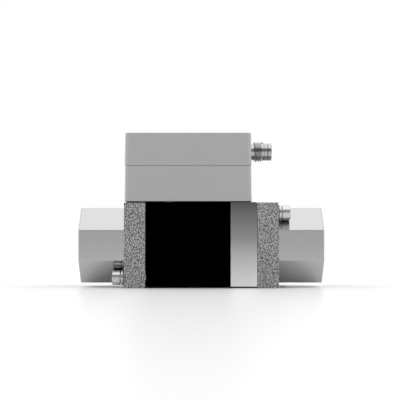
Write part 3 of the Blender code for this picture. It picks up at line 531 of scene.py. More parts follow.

# %% [markdown]
# ## A finish that follows a pattern
#
# On a real surface roughness, colour and relief change together, because one cause made them all: the
# ceramic shell, the grinding wheel or the mould. So one helper lets all three follow one pattern. On the
# cast skin the colour it follows is painted shade and a painted highlight, not the steel's own. In most
# finishes the pattern is a fine noise, which a second helper adds. Ground and turned marks are the same
# noise, stretched across the pipe's direction, so they run round the stub and the plug. Each finish
# below says how large its pattern is and how far it shows.

# %% Pattern helpers
def follow(tree, shader, pattern, reach=(0.0, 1.0), sheen=None, shades=None, depth=None):
    """Lets a finish follow a pattern. Roughness goes from one sheen to the other within reach."""
    if sheen:
        add_node(
            tree,
            "ShaderNodeMapRange",
            {"From Min": reach[0], "From Max": reach[1], "To Min": sheen[0], "To Max": sheen[1]},
            {"Value": pattern},
            {"Result": shader.inputs["Roughness"]},
        )
    if shades:
        add_node(
            tree,
            "ShaderNodeMix",
            {"data_type": "RGBA", 6: linear(shades[0]), 7: linear(shades[1])},
            {0: pattern},
            {2: shader.inputs["Base Color"]},
        )
    if depth:
        add_node(
            tree,
            "ShaderNodeBump",
            {"Distance": depth},
            {"Height": pattern},
            {"Normal": shader.inputs["Normal"]},
        )


def patterned(name, colour, metallic, roughness, size, detail=2.0, stretch=None, **shown):
    """A finish that follows one noise. How far it shows is passed on to follow."""
    finish, tree, shader = new_finish(name, colour, metallic, roughness)
    place = add_node(tree, "ShaderNodeTexCoord").outputs["Object"]
    if stretch:
        mapping = add_node(tree, "ShaderNodeMapping", {"Scale": stretch}, {"Vector": place})
        place = mapping.outputs["Vector"]
    pattern = {"Scale": 1 / size, "Detail": detail}
    noise = add_node(tree, "ShaderNodeTexNoise", pattern, {"Vector": place})
    follow(tree, shader, noise.outputs["Fac"], **shown)
    print(name, "has a pattern of", round(size / MM, 2), "mm")
    return finish


NOISE_CORE = (0.3, 0.7)
print("most of a noise lies between", *NOISE_CORE)

# %% [markdown]
# ## Investment-cast stainless steel
#
# The adapters are cast in a ceramic shell. Where nobody machined it, the steel keeps the shell's
# pebbled skin, round grains with dull crevices between them. The material draws the grains as the
# cells of a Voronoi texture, which are evenly spaced as real ones are, and bump and roughness follow
# them. The colour follows them too, as painted shade in the crevices and a painted highlight on the
# crests. Real grains are about half this size and wouldn't show, so they are drawn coarser. It is
# a metal with a fairly rough surface, which breaks reflections into a dull sparkle.

# %% As-cast finish
CAST_GRAIN = 0.43 * MM
CAST_DEPTH = 0.08 * MM
GRAIN_EDGE, GRAIN_TOP = 0.62, 0.20  # distances from a cell's middle, as shares of its size

as_cast, tree, shader = new_finish(
    "investment-cast stainless steel", "#a0a0a0", metallic=1.0, roughness=0.42
)
place = add_node(tree, "ShaderNodeTexCoord")
cells = add_node(
    tree,
    "ShaderNodeTexVoronoi",
    {"Scale": 1 / CAST_GRAIN, "Randomness": 0.9},
    {"Vector": place.outputs["Object"]},
)
crest_and_painted_shade = add_node(
    tree,
    "ShaderNodeMapRange",
    {"From Min": GRAIN_EDGE, "From Max": GRAIN_TOP},
    {"Value": cells.outputs["Distance"]},
)
# The two colours put painted shade in the crevices and a painted highlight on the crests.
follow(
    tree,
    shader,
    crest_and_painted_shade.outputs["Result"],
    sheen=(0.55, 0.36),
    shades=("#616161", "#e3e3e3"),
    depth=CAST_DEPTH,
)
print(as_cast.name, "grain", round(CAST_GRAIN / MM, 2), "mm")

# %% [markdown]
# ## Machined stainless steel
#
# The octagonal stub is ground and polished after casting, so a spanner finds flat faces. It mirrors
# the screw heads softly. Faint grinding marks run round the stub, finer than a camera shows, so they
# are drawn a little coarser here.

# %% Machined finish
GRINDING_PITCH = 0.30 * MM

machined = patterned(
    "ground stainless steel",
    "#b9b9b9",
    metallic=1.0,
    roughness=0.10,
    size=GRINDING_PITCH,
    stretch=(1.0, 0.04, 0.04),
    reach=NOISE_CORE,
    sheen=(0.08, 0.12),
    depth=0.001 * MM,
)

# %% [markdown]
# ## Pipe adapter: the flange
#
# The flange is a square plate with soft cast edges. A cube gets its edges bevelled first, and then its
# long edges are subdivided, so the flat faces become fine grids that can carry an uneven skin. A
# Displace modifier pushes them inwards only, because the skin never stands proud of the nominal size.
# The face that meets the body is machined, so it stays flat and its edge is crisp. The bent quads are
# then split into flat triangles, which the cuts that follow need for clean rims.

# %% Flange
FLANGE_THICKNESS = 7.9 * MM
FLANGE_HALF = outlet_high.y
FLANGE_FACE = outlet_low.x
FLANGE_OUTER = FLANGE_FACE + FLANGE_THICKNESS
CAST_EDGE = 0.3 * MM
FACED_EDGE = 0.10 * MM
GRID_STEP = 0.40 * MM
SKIN_WAVE = 0.8 * MM
SKIN_DEPTH = 0.10 * MM

adapter = block(
    "outlet_casting",
    (FLANGE_FACE, -FLANGE_HALF, outlet_low.z),
    (FLANGE_OUTER, FLANGE_HALF, outlet_high.z),
)
bpy.ops.object.mode_set(mode="EDIT")
faced = at_level("X", FLANGE_FACE)
pick_edges(lambda edge: not faced(edge))
bpy.ops.mesh.bevel(offset=CAST_EDGE, segments=3, affect="EDGES")
pick_edges(faced)
bpy.ops.mesh.bevel(offset=FACED_EDGE, segments=2, affect="EDGES")
for axis, length in (("X", FLANGE_THICKNESS), ("Y", 2 * FLANGE_HALF), ("Z", 2 * FLANGE_HALF)):
    runs_along = along(axis)
    pick_edges(lambda edge: runs_along(edge) and edge.calc_length() > length / 2)
    bpy.ops.mesh.subdivide(number_cuts=round(length / GRID_STEP) - 1)
bpy.ops.object.mode_set(mode="OBJECT")
print("flange grid has", len(adapter.data.polygons), "faces")

# %% Cast skin
skin_pattern = bpy.data.textures.new("cast skin", "CLOUDS")
skin_pattern.noise_scale = SKIN_WAVE
skin_pattern.noise_depth = 1
as_cast_part = adapter.vertex_groups.new(name="as cast")
cast_vertices = [v.index for v in adapter.data.vertices if v.co.x > FLANGE_FACE + FACED_EDGE]
as_cast_part.add(cast_vertices, 1.0, "REPLACE")
skin = adapter.modifiers.new("cast skin", "DISPLACE")
skin.texture = skin_pattern
skin.texture_coords = "LOCAL"
skin.vertex_group = as_cast_part.name
skin.mid_level = 1.0
skin.strength = SKIN_DEPTH
bpy.context.view_layer.objects.active = adapter
bpy.ops.object.modifier_apply(modifier=skin.name)
edit_all()
bpy.ops.mesh.quads_convert_to_tris()
bpy.ops.object.mode_set(mode="OBJECT")
adapter.data.materials.append(as_cast)
adapter.data.materials.append(machined)
print("skin up to", SKIN_DEPTH / MM, "mm deep")

# %% [markdown]
# ## Pipe adapter: the octagonal stub
#
# A block the width across flats gets its four long corners cut away, which leaves eight flats. Thin
# bevels on every edge catch the light as the ground edges do. The stub starts inside the flange and
# is united with it.

# %% Stub
ACROSS_FLATS = 28.2 * MM
CORNER_CUT = 8.5 * MM
MOUTH = outlet_high.x
FINE_EDGE = 0.10 * MM
END_CHAMFER = 0.30 * MM

half_flat = ACROSS_FLATS / 2
stub = block(
    "stub",
    (FLANGE_OUTER - FLANGE_THICKNESS / 2, -half_flat, AXIS_HEIGHT - half_flat),
    (MOUTH, half_flat, AXIS_HEIGHT + half_flat),
)
bpy.ops.object.mode_set(mode="EDIT")
pick_edges(along("X"))
bpy.ops.mesh.bevel(offset=CORNER_CUT, segments=1, affect="EDGES")
pick_edges(at_level("X", MOUTH))
bpy.ops.mesh.bevel(offset=END_CHAMFER, segments=1, affect="EDGES")
stub_runs = along("X")
pick_edges(lambda edge: stub_runs(edge) and edge.calc_length() > FLANGE_THICKNESS)
bpy.ops.mesh.bevel(offset=FINE_EDGE, segments=2, affect="EDGES")
bpy.ops.object.mode_set(mode="OBJECT")
combine(adapter, stub, "UNION")
print("stub united, faces:", len(adapter.data.polygons))

# %% [markdown]
# ## Pipe adapter: bore, socket and screw holes
#
# A turned cutter opens the bore, the shoulder, the threaded socket and the chamfer at its mouth in one
# go. Two more clear the diagonal pair of flange screws.

# %% Bores
BORE_RADIUS = 6.5 * MM
SOCKET_RADIUS = 20.955 / 2 * MM  # half the major diameter of a G 1/2 thread
SOCKET_DEPTH = 14.0 * MM
SHOULDER_CHAMFER = 1.0 * MM
MOUTH_CHAMFER = 0.8 * MM
HOLE_RADIUS = 1.8 * MM
PAST = 1.0 * MM

screw_low, screw_high = corners("outlet_screw_front")
screw_centre = (screw_low + screw_high) / 2
screw_offset = -screw_centre.y
shoulder = MOUTH - SOCKET_DEPTH
axis_start = (0, 0, AXIS_HEIGHT)
passage = turn(
    "passage",
    "X",
    axis_start,
    (
        (FLANGE_FACE - PAST, BORE_RADIUS),
        (shoulder - SHOULDER_CHAMFER, BORE_RADIUS),
        (shoulder, BORE_RADIUS + SHOULDER_CHAMFER),
        (shoulder, SOCKET_RADIUS),
        (MOUTH - MOUTH_CHAMFER, SOCKET_RADIUS),
        (MOUTH + PAST, SOCKET_RADIUS + MOUTH_CHAMFER + PAST),
    ),
    segments=96,
)
combine(adapter, passage, "DIFFERENCE")
for sign in (-1, 1):
    hole_axis = (0, sign * screw_offset, AXIS_HEIGHT - sign * screw_offset)
    hole = turn(
        "screw hole",
        "X",
        hole_axis,
        ((FLANGE_FACE - PAST, HOLE_RADIUS), (FLANGE_OUTER + PAST, HOLE_RADIUS)),
        segments=32,
    )
    combine(adapter, hole, "DIFFERENCE")
print("screws stand", round(screw_offset / MM, 2), "mm off the axis, both ways")

# %% [markdown]
# ## Threads
#
# A thread is one section wound along a helix. The section is a small plane whose crest edge is made
# narrower, and a Screw modifier winds it about the X axis. The same helper makes the pipe thread, with
# its crest pointing inwards, and the plug's thread, with its crest pointing out.

# %% Winding and thread helpers
def wind(piece, start, angle, rise, turns, steps):
    """Winds an edited section's outline about the X axis, closes its ends and moves it to start."""
    bpy.ops.mesh.select_all(action="SELECT")
    bpy.ops.mesh.delete(type="ONLY_FACE")
    bpy.ops.object.mode_set(mode="OBJECT")
    winding = piece.modifiers.new("winding", "SCREW")
    winding.axis = "X"
    winding.angle = angle
    winding.screw_offset = rise
    winding.iterations = turns
    winding.steps = steps
    winding.render_steps = steps
    bpy.ops.object.modifier_apply(modifier=winding.name)
    edit_all()
    bpy.ops.mesh.fill_holes(sides=0)
    bpy.ops.mesh.select_all(action="SELECT")
    bpy.ops.mesh.normals_make_consistent(inside=False)
    bpy.ops.transform.translate(value=start)
    bpy.ops.object.mode_set(mode="OBJECT")


def thread(
    name, start, root_radius, crest_radius, pitch, turns, root_share=0.86, crest_share=0.16, steps=48
):
    """A closed helical ridge round the X direction from start. Shares are parts of the pitch."""
    low, high = sorted((root_radius, crest_radius))
    ridge = section(name, low, high, pitch * root_share)
    bpy.ops.object.mode_set(mode="EDIT")
    pick_edges(at_level("Z", crest_radius))
    narrow = crest_share / root_share
    bpy.ops.transform.resize(value=(narrow, 1, 1), center_override=(0, 0, crest_radius))
    wind(ridge, start, 2 * math.pi, pitch, turns, steps)
    return ridge


print("winding is ready")

# %% Pipe thread
PIPE_PITCH = 25.4 / 14 * MM  # fourteen turns to the inch
PIPE_THREAD_HEIGHT = 0.6403 * PIPE_PITCH  # as on every 55 degree thread
SUNK = 0.10 * MM
pipe_turns = math.floor((SOCKET_DEPTH - MOUTH_CHAMFER) / PIPE_PITCH) - 1

ridge = thread(
    "pipe thread",
    (shoulder + PIPE_PITCH, 0, AXIS_HEIGHT),
    SOCKET_RADIUS + SUNK,
    SOCKET_RADIUS - PIPE_THREAD_HEIGHT,
    PIPE_PITCH,
    pipe_turns,
    steps=72,
)
combine(adapter, ridge, "UNION")
print("pipe thread with", pipe_turns, "turns of", round(PIPE_PITCH / MM, 3), "mm")

# %% [markdown]
# ## Pipe adapter: two finishes and two ends
#
# Faces that belong to the plate's skin get the cast finish, and the stub, the socket and the bores get
# the machined one. Edges stay sharp on machined faces only, and the flats are shaded flat. The inlet
# adapter is the same casting turned end for end.

# %% Which face is which
ON_BORE = 0.2 * MM
SHARP = math.radians(10)
FACES_ALONG = 0.99


def off_axis(point, axis_y, axis_z):
    """How far a point lies from an axis that runs along X."""
    return math.hypot(point.y - axis_y, point.z - axis_z)


def is_skin(point):
    """Whether a point lies on the flange's cast skin."""
    in_plate = FLANGE_FACE + FACED_EDGE < point.x < FLANGE_OUTER + FINE_EDGE
    in_bore = off_axis(point, 0, AXIS_HEIGHT) < BORE_RADIUS + ON_BORE
    in_hole = any(
        off_axis(point, sign * screw_offset, AXIS_HEIGHT - sign * screw_offset) < HOLE_RADIUS
        for sign in (-1, 1)
    )
    return in_plate and not in_bore and not in_hole


def is_flat(point, normal):
    """The stub's flats and its end."""
    on_stub = point.x > FLANGE_OUTER + FINE_EDGE
    outside = off_axis(point, 0, AXIS_HEIGHT) > SOCKET_RADIUS + MOUTH_CHAMFER
    return on_stub and (outside or normal.x > FACES_ALONG)


def is_machined_edge(edge):
    """Whether an edge is a real one and doesn't lie inside the cast skin."""
    beside_machined = not all(is_skin(face.calc_center_median()) for face in edge.link_faces)
    return beside_machined and edge.calc_face_angle(0) > SHARP


skin_faces = sum(is_skin(face.center) for face in adapter.data.polygons)
print(skin_faces, "of", len(adapter.data.polygons), "faces keep the cast skin")

# %% Two finishes, two adapters
choose(adapter)
bpy.ops.object.mode_set(mode="EDIT")
pick_faces(lambda centre, normal: not is_skin(centre))
adapter.active_material_index = 1
bpy.ops.object.material_slot_assign()
pick_faces(lambda centre, normal: is_skin(centre))
adapter.active_material_index = 0
bpy.ops.object.material_slot_assign()
bpy.ops.object.mode_set(mode="OBJECT")
bpy.ops.object.shade_smooth()
bpy.ops.object.mode_set(mode="EDIT")
pick_edges(is_machined_edge)
bpy.ops.mesh.mark_sharp()
pick_faces(is_flat)
bpy.ops.mesh.faces_shade_flat()
bpy.ops.object.mode_set(mode="OBJECT")

inlet_casting = half_turned_copy(adapter, "inlet_casting", "Y")
seat(adapter, "cast_steel", "outlet_adapter")
seat(inlet_casting, "cast_steel", "inlet_adapter")

# %% [markdown]
# ## Polished stainless steel
#
# Screws and spring washers are bright A2 stainless. Their faces are almost mirrors, with a fine haze
# from tumbling, which the roughness and a very shallow bump follow. The real haze is finer than this.

# %% Polished finish
TUMBLING = 0.25 * MM

polished = patterned(
    "bright stainless steel",
    "#c8c8c8",
    metallic=1.0,
    roughness=0.28,
    size=TUMBLING,
    detail=3.0,
    reach=NOISE_CORE,
    sheen=(0.22, 0.34),
    depth=0.003 * MM,
)

# %% [markdown]
# ## Flange screws
#
# Each adapter is held by two M3 socket cap screws. The head is turned with a rounded rim, and a
# six-sided cutter with a shallow cone opens its socket. One screw is modelled. Half a turn about the
# pipe axis copies it to the back, and half a turn about the axis from front to back takes both to the
# inlet.

# %% Cap screw helper
RIM = 0.35 * MM
RIM_STEPS = 4
LEAD_IN_DEPTH = 0.25 * MM
LEAD_IN_ABOVE = 0.2 * MM
LEAD_IN_FOOT, LEAD_IN_MOUTH = 0.86, 1.12  # shares of the hexagon's corner radius


def cap_screw(name, axis, foot, tip, top, head_height, head_radius, shank_radius, flats, hex_depth):
    """A socket cap screw from its tip up to the top of its head."""
    seat_level = top - head_height
    profile = [(tip, shank_radius - RIM), (tip + RIM, shank_radius), (seat_level, shank_radius)]
    profile += [(seat_level, head_radius - RIM / 3), (seat_level + RIM / 3, head_radius)]
    for step in range(RIM_STEPS + 1):
        angle = math.pi / 2 * step / RIM_STEPS
        profile.append((top - RIM * (1 - math.sin(angle)), head_radius - RIM * (1 - math.cos(angle))))
    screw = turn(name, axis, foot, profile, segments=48)
    along_axis, rotation = AXES[axis]
    corner_radius = flats / math.sqrt(3)
    bpy.ops.object.select_all(action="DESELECT")
    bpy.ops.mesh.primitive_cylinder_add(
        vertices=6,
        radius=corner_radius,
        depth=2 * hex_depth,
        location=Vector(foot) + along_axis * top,
        rotation=rotation,
    )
    combine(screw, settle("hexagon"), "DIFFERENCE")
    lead_in = turn(
        "lead in",
        axis,
        foot,
        (
            (top - LEAD_IN_DEPTH, corner_radius * LEAD_IN_FOOT),
            (top + LEAD_IN_ABOVE, corner_radius * LEAD_IN_MOUTH),
        ),
        segments=48,
    )
    combine(screw, lead_in, "DIFFERENCE")
    smooth(screw)
    return screw


print("cap screws get a rim of", round(RIM / MM, 2), "mm")


# %% Four flange screws
def seat_all_four(piece, kind, node):
    """Copies the outlet's front piece to its three other places and seats all four."""
    piece.data.materials.append(polished)
    outlet_back = half_turned_copy(piece, f"outlet_{kind}_back", "X")
    inlet_front = half_turned_copy(piece, f"inlet_{kind}_front", "Y")
    inlet_back = half_turned_copy(outlet_back, f"inlet_{kind}_back", "Y")
    seat(piece, "polished_steel", f"outlet_{node}_front")
    seat(outlet_back, "polished_steel", f"outlet_{node}_back")
    seat(inlet_front, "polished_steel", f"inlet_{node}_front")
    seat(inlet_back, "polished_steel", f"inlet_{node}_back")


HEAD_RADIUS = 2.75 * MM
HEAD_HEIGHT = 3.0 * MM
SHANK_RADIUS = 1.5 * MM
SOCKET_FLATS = 2.5 * MM
HEX_DEPTH = 1.5 * MM

front_screw = cap_screw(
    "outlet_bolt_front",
    "X",
    (0, screw_centre.y, screw_centre.z),
    screw_low.x,
    screw_high.x,
    HEAD_HEIGHT,
    HEAD_RADIUS,
    SHANK_RADIUS,
    SOCKET_FLATS,
    HEX_DEPTH,
)
seat_all_four(front_screw, "bolt", "screw")

# %% [markdown]
# ## Spring washers
#
# A spring washer is one turn of flat wire, cut across, with its two ends a little apart. Its section
# is a small plane with bevelled corners, wound by a Screw modifier with a slight rise.

# %% Spring washer
WASHER_INNER = 1.75 * MM
WASHER_OUTER = 2.8 * MM
WIRE_EDGE = 0.12 * MM
SPLIT = math.radians(14)
RISE = 0.12 * MM

washer_low, washer_high = corners("outlet_washer_front")
wire = washer_high.x - washer_low.x - RISE
washer = section("outlet_spring_washer_front", WASHER_INNER, WASHER_OUTER, wire)
edit_all()
bpy.ops.mesh.bevel(offset=WIRE_EDGE, segments=2, affect="VERTICES")
washer_centre = (washer_low + washer_high) / 2
washer_place = (washer_centre.x - RISE / 2, screw_centre.y, screw_centre.z)
wind(washer, washer_place, 2 * math.pi - SPLIT, RISE, turns=1, steps=48)
smooth(washer)
seat_all_four(washer, "spring_washer", "washer")

# %% [markdown]
# ## Satin grey moulding
#
# Both housing shells are injection moulded in a filled, grey engineering plastic. The tool is spark
# eroded, which leaves a fine even texture and a satin sheen. The texture is finer than a pixel, so it
# is drawn a little coarser and very shallow.

# %% Grey plastic finish
EROSION_GRAIN = 0.30 * MM

grey_moulding = patterned(
    "satin grey glass-filled polyester",
    "#aaaaaa",
    metallic=0.0,
    roughness=0.48,
    size=EROSION_GRAIN,
    reach=NOISE_CORE,
    sheen=(0.44, 0.52),
    shades=("#a7a7a7", "#adadad"),
    depth=0.006 * MM,
)

# %% [markdown]
# ## Electronics housing
#
# The housing is two moulded shells with a gasket between them. Each starts as a block. Its far end is
# drawn in a little for draft, so the tool lets go of it. Then the upright corners and the rims are
# rounded, and a second block hollows it out. Bosses for the screws are united last.

# %% Shell helper
SHELL_WALL = 2.2 * MM
SHELL_CORNER = 2.0 * MM
INNER_CORNER = 0.8 * MM
RIM_EDGE = 0.25 * MM
SEAM_EDGE = 0.15 * MM
SEAM = 0.05 * MM
DRAFT = 0.15 * MM
FACES_UP = 0.9


def shell(name, low, high, low_edge, top_edge):
    """A block with drafted walls, round upright corners and round rims."""
    low, high = Vector(low), Vector(high)
    piece = block(name, low, high)
    size = high - low
    middle = (low + high) / 2
    bpy.ops.object.mode_set(mode="EDIT")
    pick_faces(lambda centre, normal: normal.z > FACES_UP)
    drawn_in = ((size.x - 2 * DRAFT) / size.x, (size.y - 2 * DRAFT) / size.y, 1)
    bpy.ops.transform.resize(value=drawn_in, center_override=(middle.x, middle.y, high.z))
    pick_edges(lambda edge: reach_along(edge, 2) > size.z / 2)
    bpy.ops.mesh.bevel(offset=SHELL_CORNER, segments=8, affect="EDGES")
    pick_edges(at_level("Z", low.z))
    bpy.ops.mesh.bevel(offset=low_edge, segments=4, affect="EDGES")
    pick_edges(at_level("Z", high.z))
    bpy.ops.mesh.bevel(offset=top_edge, segments=4, affect="EDGES")
    bpy.ops.object.mode_set(mode="OBJECT")
    return piece


print("shells have walls of", SHELL_WALL / MM, "mm")


# %% Hollows, posts and their places
def hollow(piece, low, high):
    """Cuts a round-cornered room out of a shell."""
    cavity = block("cavity", low, high)
    bpy.ops.object.mode_set(mode="EDIT")
    pick_edges(along("Z"))
    bpy.ops.mesh.bevel(offset=INNER_CORNER, segments=4, affect="EDGES")
    bpy.ops.object.mode_set(mode="OBJECT")
    combine(piece, cavity, "DIFFERENCE")


def add_posts(piece, places, radius, bottom, top, operation="UNION"):
    """Unites round posts with a piece, or cuts them out of it."""
    for x, y in places:
        post = turn("post", "Z", (x, y, 0), ((bottom, radius), (top, radius)), segments=32)
        combine(piece, post, operation)


base_low, base_high = corners("housing_base")
cover_low, cover_high = corners("housing_cover")
inner_low = (base_low.x + SHELL_WALL, base_low.y + SHELL_WALL)
inner_high = (base_high.x - SHELL_WALL, base_high.y - SHELL_WALL)
cover_screw_places = []
for number in range(1, 5):
    low, high = corners(f"cover_screw_{number}")
    cover_screw_places.append(((low.x + high.x) / 2, (low.y + high.y) / 2))
print("cover screws at", [(round(x / MM, 1), round(y / MM, 1)) for x, y in cover_screw_places])

# %% Housing base
FLOOR = 2.2 * MM
BOSS_RADIUS = 2.9 * MM
BOSS_HOLE = 1.55 * MM

base_high.z = cover_low.z - SEAM
base = shell("housing_base_moulding", base_low, base_high, SEAM_EDGE, SEAM_EDGE)
hollow(base, (*inner_low, base_low.z + FLOOR), (*inner_high, base_high.z + PAST))
add_posts(base, cover_screw_places, BOSS_RADIUS, base_low.z + FLOOR / 2, base_high.z)
add_posts(base, cover_screw_places, BOSS_HOLE, base_low.z + 2 * FLOOR, base_high.z + PAST, "DIFFERENCE")
smooth(base)
base.data.materials.append(grey_moulding)
seat(base, "grey_plastic", "housing_base")

# %% Housing cover
HEAD_POCKET = 2.55 * MM
M25_HEAD_HEIGHT = 2.5 * MM
HEAD_SINK = 0.2 * MM
PLUG_SHANK = 3.7 * MM
PLUG_BOSS_WALL = 1.6 * MM
SEAT_GAP = 0.3 * MM

plug_low, plug_high = corners("connector_shell")
plug_centre = (plug_low + plug_high) / 2
cover = shell("housing_cover_moulding", cover_low, cover_high, SEAM_EDGE, RIM_EDGE)
hollow(cover, (*inner_low, cover_low.z - PAST), (*inner_high, cover_high.z - FLOOR))
add_posts(cover, cover_screw_places, BOSS_RADIUS, cover_low.z, cover_high.z - FLOOR / 2)
add_posts(cover, cover_screw_places, BOSS_HOLE, cover_low.z - PAST, cover_high.z + PAST, "DIFFERENCE")
pocket_floor = cover_high.z - HEAD_SINK - M25_HEAD_HEIGHT - SEAT_GAP
add_posts(cover, cover_screw_places, HEAD_POCKET, pocket_floor, cover_high.z + PAST, "DIFFERENCE")
plug_axis = (0, plug_centre.y, plug_centre.z)
hole_radius = PLUG_SHANK + SEAT_GAP
boss_radius = hole_radius + PLUG_BOSS_WALL
boss_profile = ((plug_low.x, boss_radius), (cover_high.x - SHELL_WALL / 2, boss_radius))
combine(cover, turn("plug boss", "X", plug_axis, boss_profile), "UNION")
hole_profile = ((plug_low.x - PAST, hole_radius), (cover_high.x + PAST, hole_radius))
combine(cover, turn("plug hole", "X", plug_axis, hole_profile), "DIFFERENCE")
smooth(cover)
cover.data.materials.append(grey_moulding)
seat(cover, "grey_plastic", "housing_cover")

# %% [markdown]
# ## Cover screws
#
# Four M2.5 socket cap screws hold the cover. They sink into round pockets in its top, so they show
# from above only. The screw helper makes the first one, and the others are copies.

# %% Cover screws
M25_FLATS = 2.0 * MM
M25_HEX_DEPTH = 1.1 * MM
M25_SHANK = 1.25 * MM

first_low, first_high = corners("cover_screw_1")
first_x, first_y = cover_screw_places[0]
first_bolt = cap_screw(
    "cover_bolt_1",
    "Z",
    (first_x, first_y, 0),
    first_low.z,
    first_high.z,
    M25_HEAD_HEIGHT,
    (first_high.x - first_low.x) / 2,
    M25_SHANK,
    M25_FLATS,
    M25_HEX_DEPTH,
)
first_bolt.data.materials.append(polished)
for number, (x, y) in enumerate(cover_screw_places[1:], start=2):
    bolt = shifted_copy(first_bolt, f"cover_bolt_{number}", (x - first_x, y - first_y, 0))
    seat(bolt, "polished_steel", f"cover_screw_{number}")
seat(first_bolt, "polished_steel", "cover_screw_1")

# %% [markdown]
# ## Nickel-plated brass
#
# The plug's shell is turned from brass and nickel plated, which gives it a bright grey mirror. The
# turning rings under the plating are stretched round the plug's axis. Real ones are too fine for any
# camera, so they are drawn a little coarser.

# %% Nickel finish
TURNING_PITCH = 0.20 * MM

nickel = patterned(
    "nickel-plated brass",
    "#b2b2b1",
    metallic=1.0,
    roughness=0.15,
    size=TURNING_PITCH,
    stretch=(1.0, 0.05, 0.05),
    reach=NOISE_CORE,
    sheen=(0.12, 0.20),
    depth=0.002 * MM,
)

# %% [markdown]
# ## The round plug
#
# The plug is an M8 sensor connector. Its shell is one turned tube: a shank in the wall, a neck, a
# threaded length and a plain sleeve with a snap groove. The profile runs along the outside to the mouth
# and back through the bore. The thread is a true helix, wound round the core.

# %% Plug sizes
WALL_FACE = cover_high.x - DRAFT / 2
SHANK_STEP = 0.4 * MM
NECK_LENGTH = 1.0 * MM
NECK_RADIUS = 3.13 * MM
PLUG_CREST = 4.0 * MM
PLUG_THREAD_HEIGHT = 0.6 * MM
PLUG_PITCH = 1.0 * MM
PLUG_TURNS = 4
SLEEVE_RADIUS = 3.36 * MM
SLEEVE_LENGTH = 3.0 * MM
SNAP_GROOVE = 0.2 * MM
PLUG_BORE = 2.75 * MM
ROUND_OFF = 0.15 * MM

neck_start = WALL_FACE + SHANK_STEP
thread_start = neck_start + NECK_LENGTH
thread_end = thread_start + PLUG_TURNS * PLUG_PITCH
mouth = thread_end + SLEEVE_LENGTH
core = PLUG_CREST - PLUG_THREAD_HEIGHT
groove = (thread_end + mouth) / 2
print("plug reaches", round((mouth - WALL_FACE) / MM, 2), "mm out of the wall")

# %% Plug shell
plug = turn(
    "round_plug",
    "X",
    plug_axis,
    (
        (plug_low.x, PLUG_SHANK),
        (neck_start - ROUND_OFF, PLUG_SHANK),
        (neck_start, PLUG_SHANK - ROUND_OFF),
        (neck_start, NECK_RADIUS),
        (thread_start, NECK_RADIUS),
        (thread_start, core),
        (thread_end, core),
        (thread_end, SLEEVE_RADIUS - ROUND_OFF),
        (thread_end + ROUND_OFF, SLEEVE_RADIUS),
        (groove - SNAP_GROOVE, SLEEVE_RADIUS),
        (groove, SLEEVE_RADIUS - SNAP_GROOVE),
        (groove + SNAP_GROOVE, SLEEVE_RADIUS),
        (mouth - SNAP_GROOVE, SLEEVE_RADIUS),
        (mouth, SLEEVE_RADIUS - SNAP_GROOVE),
        (mouth, PLUG_BORE + ROUND_OFF),
        (mouth - ROUND_OFF, PLUG_BORE),
        (plug_low.x, PLUG_BORE),
        (plug_low.x, PLUG_SHANK),
    ),
    segments=72,
    tube=True,
)
plug_ridge = thread(
    "plug thread",
    (thread_start + PLUG_PITCH / 2, plug_centre.y, plug_centre.z),
    core - SUNK,
    PLUG_CREST,
    PLUG_PITCH,
    PLUG_TURNS - 1,
    root_share=0.97,
    crest_share=0.12,
)
combine(plug, plug_ridge, "UNION")
smooth(plug)
plug.data.materials.append(nickel)
seat(plug, "nickel", "connector_shell")

# %% [markdown]
# ## Front label
#
# A printed polyester foil covers the body's front: a deep black field and a silver strip. The strip's
# colour is a painted reflection that fades from dark at the top to light at the bottom, as a metal strip
# would mirror the dark room above and the bright table below. The print is one material that reads the
# place on the foil, so its border stays crisp. The ink is dead matt, so its specular level is zero, and
# its grain is drawn coarser than it is.

# %% Printed foil
FIELD_END = 10.81 * MM
INK_GRAIN = 0.3 * MM
# Painted reflection: the strip's ramp runs dark at the top and light at the bottom, as a metal strip
# would mirror the room.
STRIP_PAINTED_REFLECTION = (("#575757", 0.0), ("#8f8f8f", 0.42), ("#c8c8c8", 0.76), ("#e4e4e4", 1.0))

label_low, label_high = corners("front_label")
foil, tree, shader = new_finish("printed polyester foil", "#000000", metallic=0.0, roughness=0.5)
shader.inputs["Specular IOR Level"].default_value = 0.0
place = add_node(tree, "ShaderNodeTexCoord")
foil_parts = add_node(tree, "ShaderNodeSeparateXYZ", links={"Vector": place.outputs["Object"]})
down = add_node(
    tree,
    "ShaderNodeMapRange",
    {"From Min": label_high.z, "From Max": label_low.z},
    {"Value": foil_parts.outputs["Z"]},
)
# This ramp paints the strip's reflection from the top of the foil down to its bottom.
painted_reflection_ramp = add_node(tree, "ShaderNodeValToRGB", links={"Fac": down.outputs["Result"]})
while len(painted_reflection_ramp.color_ramp.elements) < len(STRIP_PAINTED_REFLECTION):
    painted_reflection_ramp.color_ramp.elements.new(0.5)
for element, (colour, position) in zip(painted_reflection_ramp.color_ramp.elements, STRIP_PAINTED_REFLECTION):
    element.position = position
    element.color = linear(colour)
in_strip = add_node(
    tree, "ShaderNodeMath", {"operation": "GREATER_THAN", 1: FIELD_END}, {0: foil_parts.outputs["X"]}
)
add_node(
    tree,
    "ShaderNodeMix",
    {"data_type": "RGBA", 6: linear("#000000")},
    {0: in_strip.outputs[0], 7: painted_reflection_ramp.outputs["Color"]},
    {2: shader.inputs["Base Color"]},
)
ink = add_node(tree, "ShaderNodeTexNoise", {"Scale": 1 / INK_GRAIN}, {"Vector": place.outputs["Object"]})
follow(tree, shader, ink.outputs["Fac"], sheen=(0.42, 0.58))
print(foil.name, "strip starts at", round(FIELD_END / MM, 2), "mm")

# %% Foil
FOIL_OVERLAP = 0.25 * MM
FOIL_CORNER = 0.3 * MM
FOIL_EDGE = 0.04 * MM

